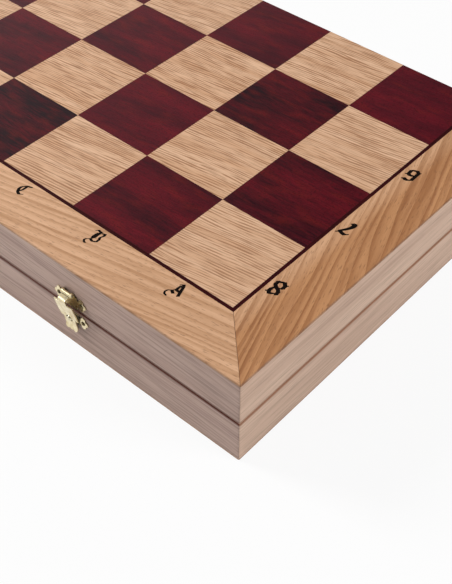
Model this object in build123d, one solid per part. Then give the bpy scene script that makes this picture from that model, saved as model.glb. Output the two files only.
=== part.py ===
from build123d import *
import math
import os

# A folding chess case with its men inside, shut and lying flat. The front rail with the two
# latches faces -Y, the hinges are at the back, +Z is up, and the origin is the middle of the
# case's footprint on the table. All lengths are millimetres.

# The playing board: half of it is the case's top face, and half is its bottom face.
square_size = 48.75
files = 8
rows_per_half = 4
inlay_width = 1.8
frame_width = 28.2
veneer_thickness = 1.0
glue_line = 0.04

# The two case halves.
rail_thickness = 10.0
panel_thickness = 4.0
panel_seat = 5.0
lining_thickness = 1.0
lining_clearance = 0.3
rim_gap = 0.8
fold_gap = 0.3
corner_round = 0.8
edge_ease = 0.3
rim_ease = 0.5

# The men, sized from the squares they stand on. Turned pieces are cut with flats, so many to a turn.
base_to_square = 2 / 3
height_to_base = 2.6
height_of_king = {"king": 1.0, "queen": 0.905, "bishop": 0.786, "knight": 0.70, "rook": 0.60, "pawn": 0.52}
base_of_king = {"king": 1.0, "queen": 0.95, "bishop": 0.875, "knight": 0.875, "rook": 0.875, "pawn": 0.78}
turning_sides = 8
fastener_sides = 6
bore_sides = 12

# The rack that holds the men lying down in the lower half.
rack_floor = 1.5
rack_clearance = 0.3
bar_height = 13.5
stop_height = 10.5
man_clearance = 0.5
lying_clearance = 0.1
head_room = 5.0

# The two butt hinges let into the back rims. The leaf screws are inset from the leaf's ends.
hinge_spread = 270.0
leaf_length = 32.0
leaf_thickness = 1.0
leaf_margin = 1.4
barrel_radius = 2.0
hinge_pin_radius = 0.8
pin_clearance = 0.05
knuckle_gap = 0.15
barrel_clearance = 0.3
screw_head_radius = 1.7
screw_shank_radius = 0.9
screw_length = 8.5
screw_clearance = 0.05
screw_inset = 5.0

# The two stamped latches on the front. Tops, feet and heights are measured up from the seam, and
# reaches outward from the front face.
latch_spread = 250.8
plate_thickness = 0.6
plate_width = 20.0
plate_waist = 9.0
lobe_sides = 12
wing_neck = 3.4
wing_radius = 2.1
petal_radius = 1.4
petal_rise = 2.1
upper_plate_foot = 1.4
lower_plate_top = -2.2
lower_plate_foot = -11.0
foot_radius = 2.6
upper_nail_height = 6.0
lower_nail_height = -5.3
nail_spread = 14.2
nail_head_radius = 1.1
nail_head_height = 0.6
nail_shank_radius = 0.45
nail_length = 7.0
nail_clearance = 0.05
flap_thickness = 0.6
flap_width = 10.7
flap_shoulder = 6.4
flap_waist = -4.2
strap_width = 3.9
tongue_width = 7.6
tongue_lobe = 1.5
flap_shelf = 5.4
flap_waist_reach = 2.3
flap_ankle = -10.6
flap_ankle_reach = 1.25
flap_tip = -13.0
flap_tip_reach = 2.0
latch_barrel_height = 10.6
latch_barrel_radius = 1.1
latch_barrel_lift = 0.15
latch_knuckle_length = 1.3
latch_pin_radius = 0.45
stud_height = -5.0
stud_radius = 1.6
stud_reach = 3.3
stud_clearance = 0.35

# Sizes worked out from those above.
margin = frame_width + inlay_width
case_length = files * square_size + 2 * margin
case_depth = rows_per_half * square_size + margin
king_base = base_to_square * square_size
king_height = height_to_base * king_base
inner_height = rack_floor + king_base + head_room + lining_thickness
case_height = inner_height + 2 * (panel_thickness + veneer_thickness)
seam_height = case_height / 2
rim_height = seam_height - rim_gap / 2
panel_face = veneer_thickness + panel_thickness
inner_length = case_length - 2 * rail_thickness
inner_depth = case_depth - 2 * rail_thickness
front_face = -case_depth / 2
back_face = case_depth / 2
hinge_axis = back_face + fold_gap / 2
board_front = front_face + margin
board_right = files * square_size / 2
latch_axis_reach = plate_thickness + latch_barrel_radius + latch_barrel_lift

lower_to_upper = Plane.XY.offset(seam_height)


def block(low, high):
    """A box from its lowest corner to its highest."""
    centre = [(a + b) / 2 for a, b in zip(low, high)]
    return Pos(*centre) * Box(*[b - a for a, b in zip(low, high)])


def prism(points, bottom, top):
    """An upright prism over a polygon."""
    outline = make_face(Polyline(*points, close=True))
    return extrude(Pos(0, 0, bottom) * outline, top - bottom)


def ring(radius, height, sides):
    """Corners of the level polygon that stands round a circle, with a flat facing +X."""
    corner = radius / math.cos(math.pi / sides)
    angles = [math.pi * (2 * i + 1) / sides for i in range(sides)]
    return [Vector(corner * math.cos(a), corner * math.sin(a), height) for a in angles]


def turned(profile, radius, height, sides=turning_sides):
    """A lathe-turned form with flats: profile gives (share of radius, share of height) from foot to tip."""
    rings = [ring(out * radius, up * height, sides) for out, up in profile]
    faces = [Face(Wire.make_polygon(rings[0][::-1])), Face(Wire.make_polygon(rings[-1]))]
    for low, high in zip(rings, rings[1:]):
        for i in range(sides):
            j = (i + 1) % sides
            faces.append(Face(Wire.make_polygon([low[i], low[j], high[j], high[i]])))
    return Part(Solid(Shell(faces)).wrapped)


def raised(shape):
    """The same piece on the upper half, which mirrors the lower half at the seam."""
    return mirror(shape, about=lower_to_upper)


def save(name, shapes):
    """Writes one node: all its solids, in one file."""
    solids = [solid for shape in shapes for solid in shape.solids()]
    export_step(solids[0] if len(solids) == 1 else Compound(children=solids), f"parts/{name}.step")


def half_blank():
    """The outer form of one half: upright corners rounded, long edges eased."""
    blank = extrude(RectangleRounded(case_length, case_depth, corner_round), rim_height)
    blank = chamfer(blank.faces().sort_by(Axis.Z)[0].edges(), edge_ease)
    return chamfer(blank.faces().sort_by(Axis.Z)[-1].edges(), rim_ease)


def hinge_cuts():
    """What the back rim loses to the hinges: a mortise for each leaf and a channel for each barrel."""
    cuts = []
    for side in (-1, 1):
        x = side * hinge_spread / 2
        cuts.append(block(
            (x - leaf_length / 2, back_face - rail_thickness + leaf_margin, rim_height - leaf_thickness),
            (x + leaf_length / 2, hinge_axis, rim_height),
        ))
        cuts.append(barrel(x, leaf_length + 2 * barrel_clearance, barrel_radius + barrel_clearance))
    return cuts


def barrel(x, length, radius):
    """A cylinder on the hinge line, centred at x."""
    return Pos(x, hinge_axis, seam_height) * Rot(0, 90, 0) * Cylinder(radius, length)


def corners(length, depth):
    """The corners of a level rectangle round the origin, anticlockwise."""
    x, y = length / 2, depth / 2
    return [(-x, -y), (x, -y), (x, y), (-x, y)]


def bore(x, length, radius):
    """What passes through a barrel at the origin: a pin or its hole, along X, with flats."""
    return Pos(x - length / 2, 0, 0) * Rot(0, 90, 0) * turned([(1, 0), (1, length)], radius, 1, bore_sides)


def rails(blank):
    """Four mitred rails, each rebated for the panel."""
    outer, inner = corners(case_length, case_depth), corners(inner_length, inner_depth)
    made = {}
    for i, name in enumerate(("front", "right", "back", "left")):
        j = (i + 1) % 4
        rail = prism([outer[i], outer[j], inner[j], inner[i]], veneer_thickness, rim_height)
        made[name] = (rail & blank) - panel()
    for cut in hinge_cuts():
        made["back"] -= cut
    return made


def panel():
    """The flat panel, let into the rails so that its face is flush with them."""
    reach_x = inner_length / 2 + panel_seat
    reach_y = inner_depth / 2 + panel_seat
    return block((-reach_x, -reach_y, veneer_thickness), (reach_x, reach_y, panel_face))


def border(outer_offset, width, blank):
    """Three mitred strips round the front and sides of the playing face, for a frame or an inlay line."""
    x_out, x_in = case_length / 2 - outer_offset, case_length / 2 - outer_offset - width
    y_out, y_in = front_face + outer_offset, front_face + outer_offset + width
    slit = glue_line / 2
    front = [
        (-x_out + slit, y_out), (x_out - slit, y_out), (x_in - slit, y_in - slit), (-x_in + slit, y_in - slit),
    ]
    side = [(x_out, y_out + slit), (x_out, back_face), (x_in + slit, back_face), (x_in + slit, y_in + slit)]
    strips = [front, side, [(-x, y) for x, y in side]]
    return [prism(points, 0, veneer_thickness) & blank for points in strips]


def squares(blank):
    """The veneer squares of one half: those of the near right corner's colour, and the others."""
    slit = glue_line / 2
    matching, others = [], []
    for file in range(files):
        for row in range(rows_per_half):
            x_high = board_right - file * square_size - slit
            y_low = board_front + row * square_size + slit
            tile = block(
                (x_high - square_size + 2 * slit, y_low, 0),
                (x_high, y_low + square_size - 2 * slit, veneer_thickness),
            )
            (others if (file + row) % 2 else matching).append(tile & blank)
    return matching, others


# Half the thickness of a knight's head, as a share of its base radius.
cheek_share = 0.42

# Turned outlines, foot to tip, as shares of the base radius and of the height.
outlines = {
    "pawn": [
        (1, 0), (1, 0.08), (0.64, 0.2), (0.36, 0.57), (0.62, 0.635), (0.4, 0.7),
        (0.58, 0.83), (0.4, 0.96), (0.12, 1),
    ],
    "rook": [(1, 0), (1, 0.08), (0.76, 0.19), (0.56, 0.64), (0.78, 0.76), (0.78, 1)],
    "knight": [(1, 0), (1, 0.07), (0.78, 0.18), (0.66, 0.26)],
    "bishop": [
        (1, 0), (1, 0.06), (0.66, 0.16), (0.36, 0.54), (0.62, 0.59), (0.38, 0.64),
        (0.54, 0.76), (0.14, 0.94), (0.1, 1),
    ],
    "queen": [
        (1, 0), (1, 0.06), (0.68, 0.15), (0.36, 0.56), (0.62, 0.61), (0.4, 0.66),
        (0.4, 0.74), (0.66, 0.93),
    ],
    "king": [
        (1, 0), (1, 0.055), (0.68, 0.14), (0.38, 0.53), (0.62, 0.58), (0.42, 0.63),
        (0.64, 0.84), (0.18, 0.9),
    ],
}

# A knight's head from the side, poll and muzzle to chest, in the same shares.
horse = [
    (-0.62, 0.25), (-0.66, 0.5), (-0.34, 0.84), (-0.3, 1), (-0.06, 0.92), (0.3, 0.86),
    (0.86, 0.66), (0.82, 0.53), (0.58, 0.5), (0.2, 0.58), (0.5, 0.4), (0.6, 0.25),
]


def rook(radius, height):
    """A tower: the turned body, hollowed at the top and cut through by two crossing slots."""
    well_radius, well_floor = 0.53 * radius, 0.88 * height
    slot_width, slot_floor = 0.28 * radius, 0.9 * height
    well = Pos(0, 0, well_floor) * turned([(1, 0), (1, 1)], well_radius, height)
    slot = block((-radius, -slot_width / 2, slot_floor), (radius, slot_width / 2, height))
    return turned(outlines["rook"], radius, height) - well - slot - Rot(0, 0, 90) * slot


def knight(radius, height):
    """A horse's head in profile on a turned foot, with both cheeks drafted."""
    cheek_draft = 9
    face = make_face(Polyline(*[(x * radius, z * height) for x, z in horse], close=True))
    cheek = extrude(Plane.XZ * face, cheek_share * radius, taper=cheek_draft)
    return turned(outlines["knight"], radius, height) + cheek + mirror(cheek, about=Plane.XZ)


def bishop(radius, height):
    """A mitre with its slanting cut."""
    cut_width, cut_depth, cut_slant = 0.14 * radius, 0.7 * radius, 55
    cut_at = Pos(0.42 * radius, 0, 0.83 * height)
    cut = cut_at * Rot(0, cut_slant, 0) * Box(cut_width, 2 * radius, cut_depth)
    return turned(outlines["bishop"], radius, height) - cut


def queen(radius, height):
    """A coronet with eight notches round a low dome."""
    points, notch_side, rim = 8, 0.22 * radius, 0.93 * height
    body = turned(outlines["queen"], radius, height)
    notch = Pos(0.62 * radius, 0, rim) * Rot(0, 0, 45) * Box(notch_side, notch_side, 0.05 * height)
    for step in range(points):
        body -= Rot(0, 0, 360 / points * step) * notch
    return body + turned([(0.4, 0.92), (0.3, 0.965), (0.1, 1)], radius, height)


def king(radius, height):
    """A domed crown under a cross."""
    arm, half_thick = 0.3 * radius, 0.13 * radius
    foot, bar_low, bar_high = 0.89 * height, 0.94 * height, 0.97 * height
    post = block((-half_thick, -half_thick, foot), (half_thick, half_thick, height))
    bar = block((-arm, -half_thick, bar_low), (arm, half_thick, bar_high))
    return turned(outlines["king"], radius, height) + post + bar


def pawn(radius, height):
    """A ball on a collar."""
    return turned(outlines["pawn"], radius, height)


makers = {"king": king, "queen": queen, "bishop": bishop, "knight": knight, "rook": rook, "pawn": pawn}


def lying(kind):
    """A man lying along +X from its base, resting on its base rim and on the widest part of its head."""
    radius, height = base_of_king[kind] * king_base / 2, height_of_king[kind] * king_height
    rim_share = outlines[kind][1][1]
    reaches = [(cheek_share, 1)] if kind == "knight" else outlines[kind]
    drops = [
        math.atan2((1 - out) * radius, (up - rim_share) * height)
        for out, up in reaches
        if up > rim_share
    ]
    man = Rot(0, 90 + math.degrees(min(drops)), 0) * Rot(0, 0, 90) * makers[kind](radius, height)
    box = man.bounding_box()
    return Pos(-box.min.X, 0, -box.min.Z) * man, box.size.X, 2 * radius


def rack():
    """Lays the 32 men in five rows and makes the bars between the rows and the stops between the men."""
    officers = ["bishop", "knight", "rook"]
    plan = [
        [("light", "pawn")] * files,
        [("light", kind) for kind in officers + officers[::-1]],
        [("light", "king"), ("light", "queen"), ("dark", "queen"), ("dark", "king")],
        [("dark", kind) for kind in officers + officers[::-1]],
        [("dark", "pawn")] * files,
    ]
    models = {kind: lying(kind) for kind in makers}
    widths = [max(models[kind][2] for _, kind in row) + 2 * man_clearance for row in plan]
    length = inner_length - 2 * rack_clearance
    depth = inner_depth - 2 * rack_clearance
    floor = panel_face + rack_floor
    bar_width = (depth - sum(widths)) / (len(plan) + 1)
    men, bars, stops = {}, [], []
    y = -depth / 2
    for row, width in zip(plan, widths):
        bars.append(block((-length / 2, y, floor), (length / 2, y + bar_width, floor + bar_height)))
        y += bar_width
        room = sum(models[kind][1] + 2 * man_clearance for _, kind in row)
        stop_length = (length - room) / (len(row) + 1)
        x = -length / 2
        for place, (colour, kind) in enumerate(row):
            model, man_length, _ = models[kind]
            stops.append(block((x, y, floor), (x + stop_length, y + width, floor + stop_height)))
            x += stop_length + man_clearance
            middle = Pos(x + man_length / 2, y + width / 2, floor + lying_clearance)
            turn = 180 if place >= len(row) / 2 else 0
            man = middle * Rot(0, 0, turn) * Pos(-man_length / 2, 0, 0) * model
            men.setdefault((colour, kind), []).append(man)
            x += man_length + man_clearance
        stops.append(block((x, y, floor), (x + stop_length, y + width, floor + stop_height)))
        y += width
    bars.append(block((-length / 2, y, floor), (length / 2, y + bar_width, floor + bar_height)))
    base = block((-length / 2, -depth / 2, panel_face), (length / 2, depth / 2, floor))
    return base, bars, stops, men


def lining():
    """The felt glued inside the upper half, in the lower half's place until it is mirrored up."""
    reach_x = inner_length / 2 - lining_clearance
    reach_y = inner_depth / 2 - lining_clearance
    return block((-reach_x, -reach_y, panel_face), (reach_x, reach_y, panel_face + lining_thickness))


def screw_places():
    """Where the leaf screws go: x, y of each, two in each leaf."""
    y = back_face - (rail_thickness + leaf_margin) / 2
    offsets = (screw_inset - leaf_length / 2, leaf_length / 2 - screw_inset)
    return [(side * hinge_spread / 2 + offset, y) for side in (-1, 1) for offset in offsets]


def screw(clearance):
    """A countersunk wood screw, point down, its head level with the rim."""
    head, shank = screw_head_radius + clearance, screw_shank_radius + clearance
    profile = [
        (0.3 * shank, -screw_length), (shank, -0.75 * screw_length), (shank, -leaf_thickness), (head, 0),
    ]
    return turned(profile, 1, 1, fastener_sides)


def hinge_leaf(x, own_knuckles, other_knuckles):
    """A leaf in the lower rim, with its knuckles on the hinge line."""
    leaf = block(
        (x - leaf_length / 2, back_face - rail_thickness + leaf_margin, rim_height - leaf_thickness),
        (x + leaf_length / 2, hinge_axis, rim_height),
    )
    for centre, length in other_knuckles:
        leaf -= barrel(x + centre, length + 2 * knuckle_gap, barrel_radius + barrel_clearance)
    for centre, length in own_knuckles:
        leaf += barrel(x + centre, length, barrel_radius)
    return leaf - Pos(0, hinge_axis, seam_height) * bore(x, 2 * leaf_length, hinge_pin_radius + pin_clearance)


def hinges():
    """Lower leaves, upper leaves, pins, and the screws of each half."""
    middle = leaf_length / 2
    outer_length = (leaf_length - middle) / 2 - knuckle_gap
    outer_centre = (leaf_length - outer_length) / 2
    outer = [(-outer_centre, outer_length), (outer_centre, outer_length)]
    inner = [(0, middle)]
    centres = (-hinge_spread / 2, hinge_spread / 2)
    lower = [hinge_leaf(x, outer, inner) for x in centres]
    upper = [hinge_leaf(x, inner, outer) for x in centres]
    pins = [Pos(0, hinge_axis, seam_height) * bore(x, leaf_length, hinge_pin_radius) for x in centres]
    screws = []
    for x, y in screw_places():
        place = Pos(x, y, rim_height)
        screws.append(place * screw(0))
        lower = [leaf - place * screw(screw_clearance) for leaf in lower]
        upper = [leaf - place * screw(screw_clearance) for leaf in upper]
    return lower, [raised(leaf) for leaf in upper], pins, screws


def stamped(outline, thickness, start=0.0):
    """A flat outline, drawn as seen from the front, as a sheet that stands off the rail by start."""
    return extrude(Plane.XZ.offset(start) * outline, thickness)


def disc(x, z, radius):
    """A round lobe of a stamped outline, cut with short flats."""
    return Pos(x, z) * RegularPolygon(radius, lobe_sides)


def bar_outline(width, low, high):
    """An upright rectangle of a stamped outline, centred on the latch."""
    return Pos(0, (low + high) / 2) * Rectangle(width, high - low)


def nail(clearance=0.0):
    """A round-headed pin, driven along +Y, its head seated on a plate."""
    head, shank = nail_head_radius, nail_shank_radius + clearance
    brim, under_head = 0.3 * nail_head_height, 0.02
    profile = [
        (0.25 * shank, -nail_length), (shank, -0.85 * nail_length), (shank, 0), (head, under_head),
        (head, brim), (0.5 * head, nail_head_height),
    ]
    return Rot(90, 0, 0) * turned(profile, 1, 1, fastener_sides)


def winged(outline, height):
    """A stamped plate with a trefoil wing on each side of its middle, and a nail hole in each."""
    outline += bar_outline(nail_spread, height - wing_neck / 2, height + wing_neck / 2)
    for side in (-1, 1):
        nail_x = side * nail_spread / 2
        outline += disc(nail_x, height, wing_radius)
        outline += disc(side * (plate_width / 2 - petal_radius), height, petal_radius)
        for rise in (-petal_rise, petal_rise):
            outline += disc(nail_x, height + rise, petal_radius)
    plate = stamped(outline, plate_thickness)
    hole = Rot(90, 0, 0) * turned([(1, -4), (1, 4)], nail_shank_radius + nail_clearance, 1, fastener_sides)
    for side in (-1, 1):
        plate -= Pos(side * nail_spread / 2, 0, height) * hole
    return plate


def latch_barrel(x, length, radius):
    """A cylinder on the latch's hinge line, centred at x."""
    return Pos(x, -latch_axis_reach, latch_barrel_height) * Rot(0, 90, 0) * Cylinder(radius, length)


def latch_bore(length, radius):
    """The latch's pin, or its hole."""
    return Pos(0, -latch_axis_reach, latch_barrel_height) * bore(0, length, radius)


def upper_plate():
    """The winged plate on the upper rail, its two top lobes curled forward into knuckles."""
    outline = bar_outline(plate_waist, upper_plate_foot, latch_barrel_height)
    lobe_x = (strap_width + latch_knuckle_length) / 2 + knuckle_gap
    for side in (-1, 1):
        outline += disc(side * lobe_x, latch_barrel_height, latch_barrel_radius)
    plate = winged(outline, upper_nail_height)
    crown = latch_barrel_height + latch_barrel_radius
    for side in (-1, 1):
        web = block(
            (-latch_knuckle_length / 2, -latch_axis_reach, crown - plate_thickness),
            (latch_knuckle_length / 2, -plate_thickness / 2, crown),
        )
        plate += Pos(side * lobe_x, 0, 0) * web
        plate += latch_barrel(side * lobe_x, latch_knuckle_length, latch_barrel_radius)
    return plate - latch_bore(plate_width, latch_pin_radius + pin_clearance)


def lower_plate():
    """The winged plate on the lower rail, round at the foot."""
    outline = bar_outline(plate_waist, lower_plate_foot + foot_radius, lower_plate_top)
    outline += disc(0, lower_plate_foot + foot_radius, foot_radius)
    return winged(outline, lower_nail_height)


def stud():
    """The round-headed stud on the lower plate that the flap drops over."""
    reach = stud_reach - plate_thickness
    profile = [(0.8, 0), (1, 0.3), (1, 0.65), (0.75, 0.9), (0.3, 1)]
    return Pos(0, -plate_thickness, stud_height) * Rot(90, 0, 0) * turned(profile, stud_radius, reach)


def flap():
    """The latch flap: a strap from the barrel, a shelf, wide shoulders, and a holed tongue."""
    half = flap_thickness / 2
    shelf = latch_barrel_height - latch_barrel_radius + half
    bends = [
        (latch_axis_reach, shelf), (flap_shelf, shelf), (flap_waist_reach, flap_waist),
        (flap_ankle_reach, flap_ankle), (flap_tip_reach, flap_tip),
    ]
    section = trace(Polyline(*[(-reach, z) for reach, z in bends]), line_width=flap_thickness)
    strip = extrude(Plane.YZ * section, flap_width / 2, both=True)
    outline = bar_outline(strap_width, flap_waist, latch_barrel_height + latch_barrel_radius)
    outline += bar_outline(flap_width, flap_waist, flap_shoulder)
    outline += bar_outline(tongue_width, flap_tip + tongue_lobe, flap_waist)
    for x in (tongue_lobe - tongue_width / 2, 0, tongue_width / 2 - tongue_lobe):
        outline += disc(x, flap_tip + tongue_lobe, tongue_lobe)
    outline -= disc(0, stud_height, stud_radius + stud_clearance)
    body = strip & stamped(outline, 4 * flap_shelf, start=-flap_shelf)
    body += latch_barrel(0, strap_width, latch_barrel_radius)
    return body - latch_bore(2 * flap_width, latch_pin_radius + pin_clearance)


def main():
    os.makedirs("parts", exist_ok=True)
    blank = half_blank()

    made_rails = rails(blank)
    frame_strips = border(0, frame_width, blank)
    inlay_strips = border(frame_width, inlay_width, blank)
    matching, others = squares(blank)
    for half, place in (("lower", lambda shape: shape), ("upper", raised)):
        for name, rail in made_rails.items():
            save(f"{half}_{name}_rail", [place(rail)])
        save(f"{half}_panel", [place(panel())])
        save(f"{half}_frame_veneer", [place(strip) for strip in frame_strips])
        save(f"{half}_inlay_line", [place(strip) for strip in inlay_strips])
        light, dark = (others, matching) if half == "lower" else (matching, others)
        save(f"{half}_light_squares", [place(tile) for tile in light])
        save(f"{half}_dark_squares", [place(tile) for tile in dark])
    save("upper_lining", [raised(lining())])

    base, bars, stops, men = rack()
    save("rack_base", [base])
    save("rack_bars", bars)
    save("rack_stops", stops)
    for (colour, kind), solids in men.items():
        save(f"{colour}_{kind}" + ("s" if len(solids) > 1 else ""), solids)

    lower_leaves, upper_leaves, pins, screws = hinges()
    save("hinge_lower_leaves", lower_leaves)
    save("hinge_upper_leaves", upper_leaves)
    save("hinge_pins", pins)
    save("hinge_lower_screws", screws)
    save("hinge_upper_screws", [raised(piece) for piece in screws])

    sides = {
        "left": Pos(-latch_spread / 2, front_face, seam_height),
        "right": Pos(latch_spread / 2, front_face, seam_height),
    }
    nail_at = Pos(0, -plate_thickness, 0) * nail()
    save("latch_upper_plates", [at * upper_plate() for at in sides.values()])
    save("latch_lower_plates", [at * lower_plate() for at in sides.values()])
    save("latch_studs", [at * stud() for at in sides.values()])
    pin_length = strap_width + 2 * (latch_knuckle_length + knuckle_gap)
    save("latch_pins", [at * latch_bore(pin_length, latch_pin_radius) for at in sides.values()])
    for half, height in (("upper", upper_nail_height), ("lower", lower_nail_height)):
        places = [at * Pos(side * nail_spread / 2, 0, height) for at in sides.values() for side in (-1, 1)]
        save(f"latch_{half}_nails", [at * nail_at for at in places])
    for name, at in sides.items():
        save(f"{name}_latch_flap", [at * flap()])


main()
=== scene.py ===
# %% [markdown]
# # A folding chess case, shut, on a white table
#
# The real thing is a flat wooden case in two halves. Its outer faces carry veneer: oak and burgundy
# squares, a dark inlay line, and a mitred oak frame with printed letters and numbers. Two small
# stamped brass latches keep it shut, and the men lie in a rack inside.
#
# The measured model is loaded first and stays as it is. Everything below either gives its pieces a
# finish or stands a finer piece in the place of a plain one.

# %% Load the measured model
import math
import random

import bmesh
import bpy
from mathutils import Matrix, Vector
from mathutils.geometry import delaunay_2d_cdt


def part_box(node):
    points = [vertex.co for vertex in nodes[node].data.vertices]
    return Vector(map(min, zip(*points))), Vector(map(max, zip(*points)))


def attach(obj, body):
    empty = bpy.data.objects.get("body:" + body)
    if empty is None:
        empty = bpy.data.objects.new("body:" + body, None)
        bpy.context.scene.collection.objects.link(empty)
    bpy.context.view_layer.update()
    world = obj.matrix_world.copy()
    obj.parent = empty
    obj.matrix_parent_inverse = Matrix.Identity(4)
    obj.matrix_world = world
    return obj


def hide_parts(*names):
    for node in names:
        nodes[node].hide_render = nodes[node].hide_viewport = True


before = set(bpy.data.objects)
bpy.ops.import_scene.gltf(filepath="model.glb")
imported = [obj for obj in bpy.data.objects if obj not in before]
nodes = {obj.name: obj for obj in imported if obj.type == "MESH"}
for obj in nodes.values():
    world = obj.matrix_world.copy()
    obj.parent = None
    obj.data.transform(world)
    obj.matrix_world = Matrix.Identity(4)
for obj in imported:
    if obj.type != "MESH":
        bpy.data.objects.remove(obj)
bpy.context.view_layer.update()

# %% [markdown]
# ## Sizes
#
# All lengths in Blender are metres. The sizes that the finishes need are read from the model, so the
# grain and the lettering stay in step with the squares if someone changes them.

# %% Read the sizes that the finishes need
MM = 0.001
board_low, board_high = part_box("upper_light_squares")
veneer_low, veneer_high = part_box("upper_frame_veneer")
square = (board_high.x - board_low.x) / 8
side = veneer_high.x
front = veneer_low.y
top = veneer_high.z
seam = top / 2
print("square", round(square / MM, 2), "mm, case", round(top / MM, 1), "mm thick")

# %% [markdown]
# ## The camera
#
# The picture shows one corner of the case from above. Its straight edges give the lens and the place
# of the camera: the frame strips, the inlay line and the rows of squares all run to two vanishing
# points. The lens has a narrow view, so the case looks nearly like a technical drawing.

# %% Place the camera
camera_data = bpy.data.cameras.new("camera")
camera_data.lens = 66.577
camera_data.sensor_width = 36
camera_data.clip_start = 0.01
camera = bpy.data.objects.new("camera", camera_data)
camera.location = (0.39669, -0.31842, 0.37967)
camera.rotation_euler = [math.radians(angle) for angle in (44.0995, -0.2257, 41.3023)]
bpy.context.scene.collection.objects.link(camera)
bpy.context.scene.camera = camera
bpy.context.scene.view_settings.view_transform = "Standard"
print("camera at", [round(value, 3) for value in camera.location])

# %% [markdown]
# ## Writing a finish
#
# A finish is a sheet of shader nodes. The two small classes below keep its calls short: each call adds
# a node, feeds it, and hands back the socket that the next node needs. Patterns are laid out in real
# lengths in the piece's own space, so they keep their size on every piece and follow it as it moves.

# %% A short way to write nodes
class Sheet:
    """A sheet of nodes that are added one call at a time."""

    def __init__(self, tree):
        self.tree = tree

    def node(self, kind, inputs=(), **choices):
        made = self.tree.nodes.new(kind)
        for key, value in choices.items():
            setattr(made, key, value)
        for socket, value in zip(made.inputs, inputs):
            self.feed(socket, value)
        return made

    def feed(self, socket, value):
        if isinstance(value, bpy.types.NodeSocket):
            self.tree.links.new(value, socket)
        else:
            socket.default_value = value

    def sum(self, operation, *values):
        return self.node("ShaderNodeMath", values, operation=operation).outputs[0]

    def times(self, first, second):
        return self.sum("MULTIPLY", first, second)

    def line(self, value, slope, start):
        """slope times value, plus start."""
        return self.sum("MULTIPLY_ADD", value, slope, start)

    def split(self, vector):
        return self.node("ShaderNodeSeparateXYZ", [vector]).outputs

    def rise(self, value, low, high, first=0.0, last=1.0):
        """The first value at low, the last at high, and a straight slope between."""
        return self.node("ShaderNodeMapRange", [value, low, high, first, last]).outputs[0]


print("nodes can be written")

# %% Materials with patterns in real lengths
class Finish(Sheet):
    """A material, with patterns that are laid out in real lengths."""

    def __init__(self, name):
        self.material = bpy.data.materials.new(name)
        self.material.use_nodes = True
        super().__init__(self.material.node_tree)
        self.shader = self.tree.nodes["Principled BSDF"]
        where = self.node("ShaderNodeTexCoord").outputs
        self.place, self.facing = where["Object"], where["Normal"]

    def vector(self, operation, *values):
        return self.node("ShaderNodeVectorMath", values, operation=operation).outputs[0]

    def joined(self, x, y, z):
        return self.node("ShaderNodeCombineXYZ", [x, y, z]).outputs[0]

    def turned(self, where, angle):
        made = self.node("ShaderNodeVectorRotate", rotation_type="Z_AXIS")
        self.feed(made.inputs["Vector"], where)
        self.feed(made.inputs["Angle"], angle)
        return made.outputs[0]

    def noise(self, where, detail=2.0):
        made = self.node("ShaderNodeTexNoise")
        for name, value in (("Vector", where), ("Scale", 1.0), ("Detail", detail)):
            self.feed(made.inputs[name], value)
        return made.outputs["Fac"]

    def cloud(self, per_metre, detail=2.0):
        """Noise with that many patches to the metre, the same or another number along X, Y and Z."""
        return self.noise(self.vector("MULTIPLY", self.place, per_metre), detail)

    def strands(self, where, along, across, detail=2.0):
        """Noise drawn out along X, in patches of those two lengths in millimetres."""
        return self.noise(self.vector("DIVIDE", where, [v * MM for v in (along, across, across)]), detail)

    def rings(self, where, spacing, wave, length):
        """Growth lines along X, spacing mm apart, that wander by wave lines and break off after length mm."""
        drift = self.times(self.strands(where, 50, 12), wave)
        across = self.sum("DIVIDE", self.split(where)["Y"], spacing * MM)
        swing = self.sum("SINE", self.times(self.sum("ADD", across, drift), 2 * math.pi))
        broken = self.strands(where, length, spacing * 1.4)
        return self.rise(self.line(swing, 0.17, broken), 0.46, 0.78)

    def luck(self, where):
        """A random value and a random vector that stay the same wherever where does."""
        made = self.node("ShaderNodeTexWhiteNoise", [where], noise_dimensions="3D")
        return made.outputs["Value"], made.outputs["Color"]

    def mix(self, share, first, second):
        made = self.node("ShaderNodeMix", data_type="RGBA")
        for number, value in ((0, share), (6, first), (7, second)):
            self.feed(made.inputs[number], value)
        return made.outputs[2]

    def paint(self, colour, pattern, low, high, strength, over):
        """Lays a second colour over the first where the pattern rises from low to high."""
        return self.mix(self.times(self.rise(pattern, low, high), strength), colour, over)

    def bump(self, height, depth, edge=None):
        """Raises the surface by height times depth. An edge radius, if given, rounds the edges."""
        made = self.node("ShaderNodeBump")
        self.feed(made.inputs["Distance"], depth)
        self.feed(made.inputs["Height"], height)
        if edge:
            soft = self.node("ShaderNodeBevel", samples=4)
            self.feed(soft.inputs["Radius"], edge)
            self.feed(made.inputs["Normal"], soft.outputs[0])
        self.feed(self.shader.inputs["Normal"], made.outputs[0])

    def set(self, **sockets):
        for name, value in sockets.items():
            self.feed(self.shader.inputs[name.replace("_", " ")], value)
        return self.material


print("materials can be written")

# %% Colours, and dressing a piece in its finish
def tint(red, green, blue):
    """A colour as a screen shows it, from 0 to 255, in the linear values that shaders use."""
    shares = [value / 255 for value in (red, green, blue)]
    return [s / 12.92 if s <= 0.04045 else ((s + 0.055) / 1.055) ** 2.4 for s in shares] + [1.0]


def darker(colour, share):
    """A share of a colour's light."""
    return [value * share for value in colour[:3]] + [1.0]


def dress(material, *names):
    """Gives carried-over pieces their finish."""
    for name in names:
        nodes[name].data.materials.clear()
        nodes[name].data.materials.append(material)


print("a middle grey is", round(tint(128, 128, 128)[0], 3), "in linear light")

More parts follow.
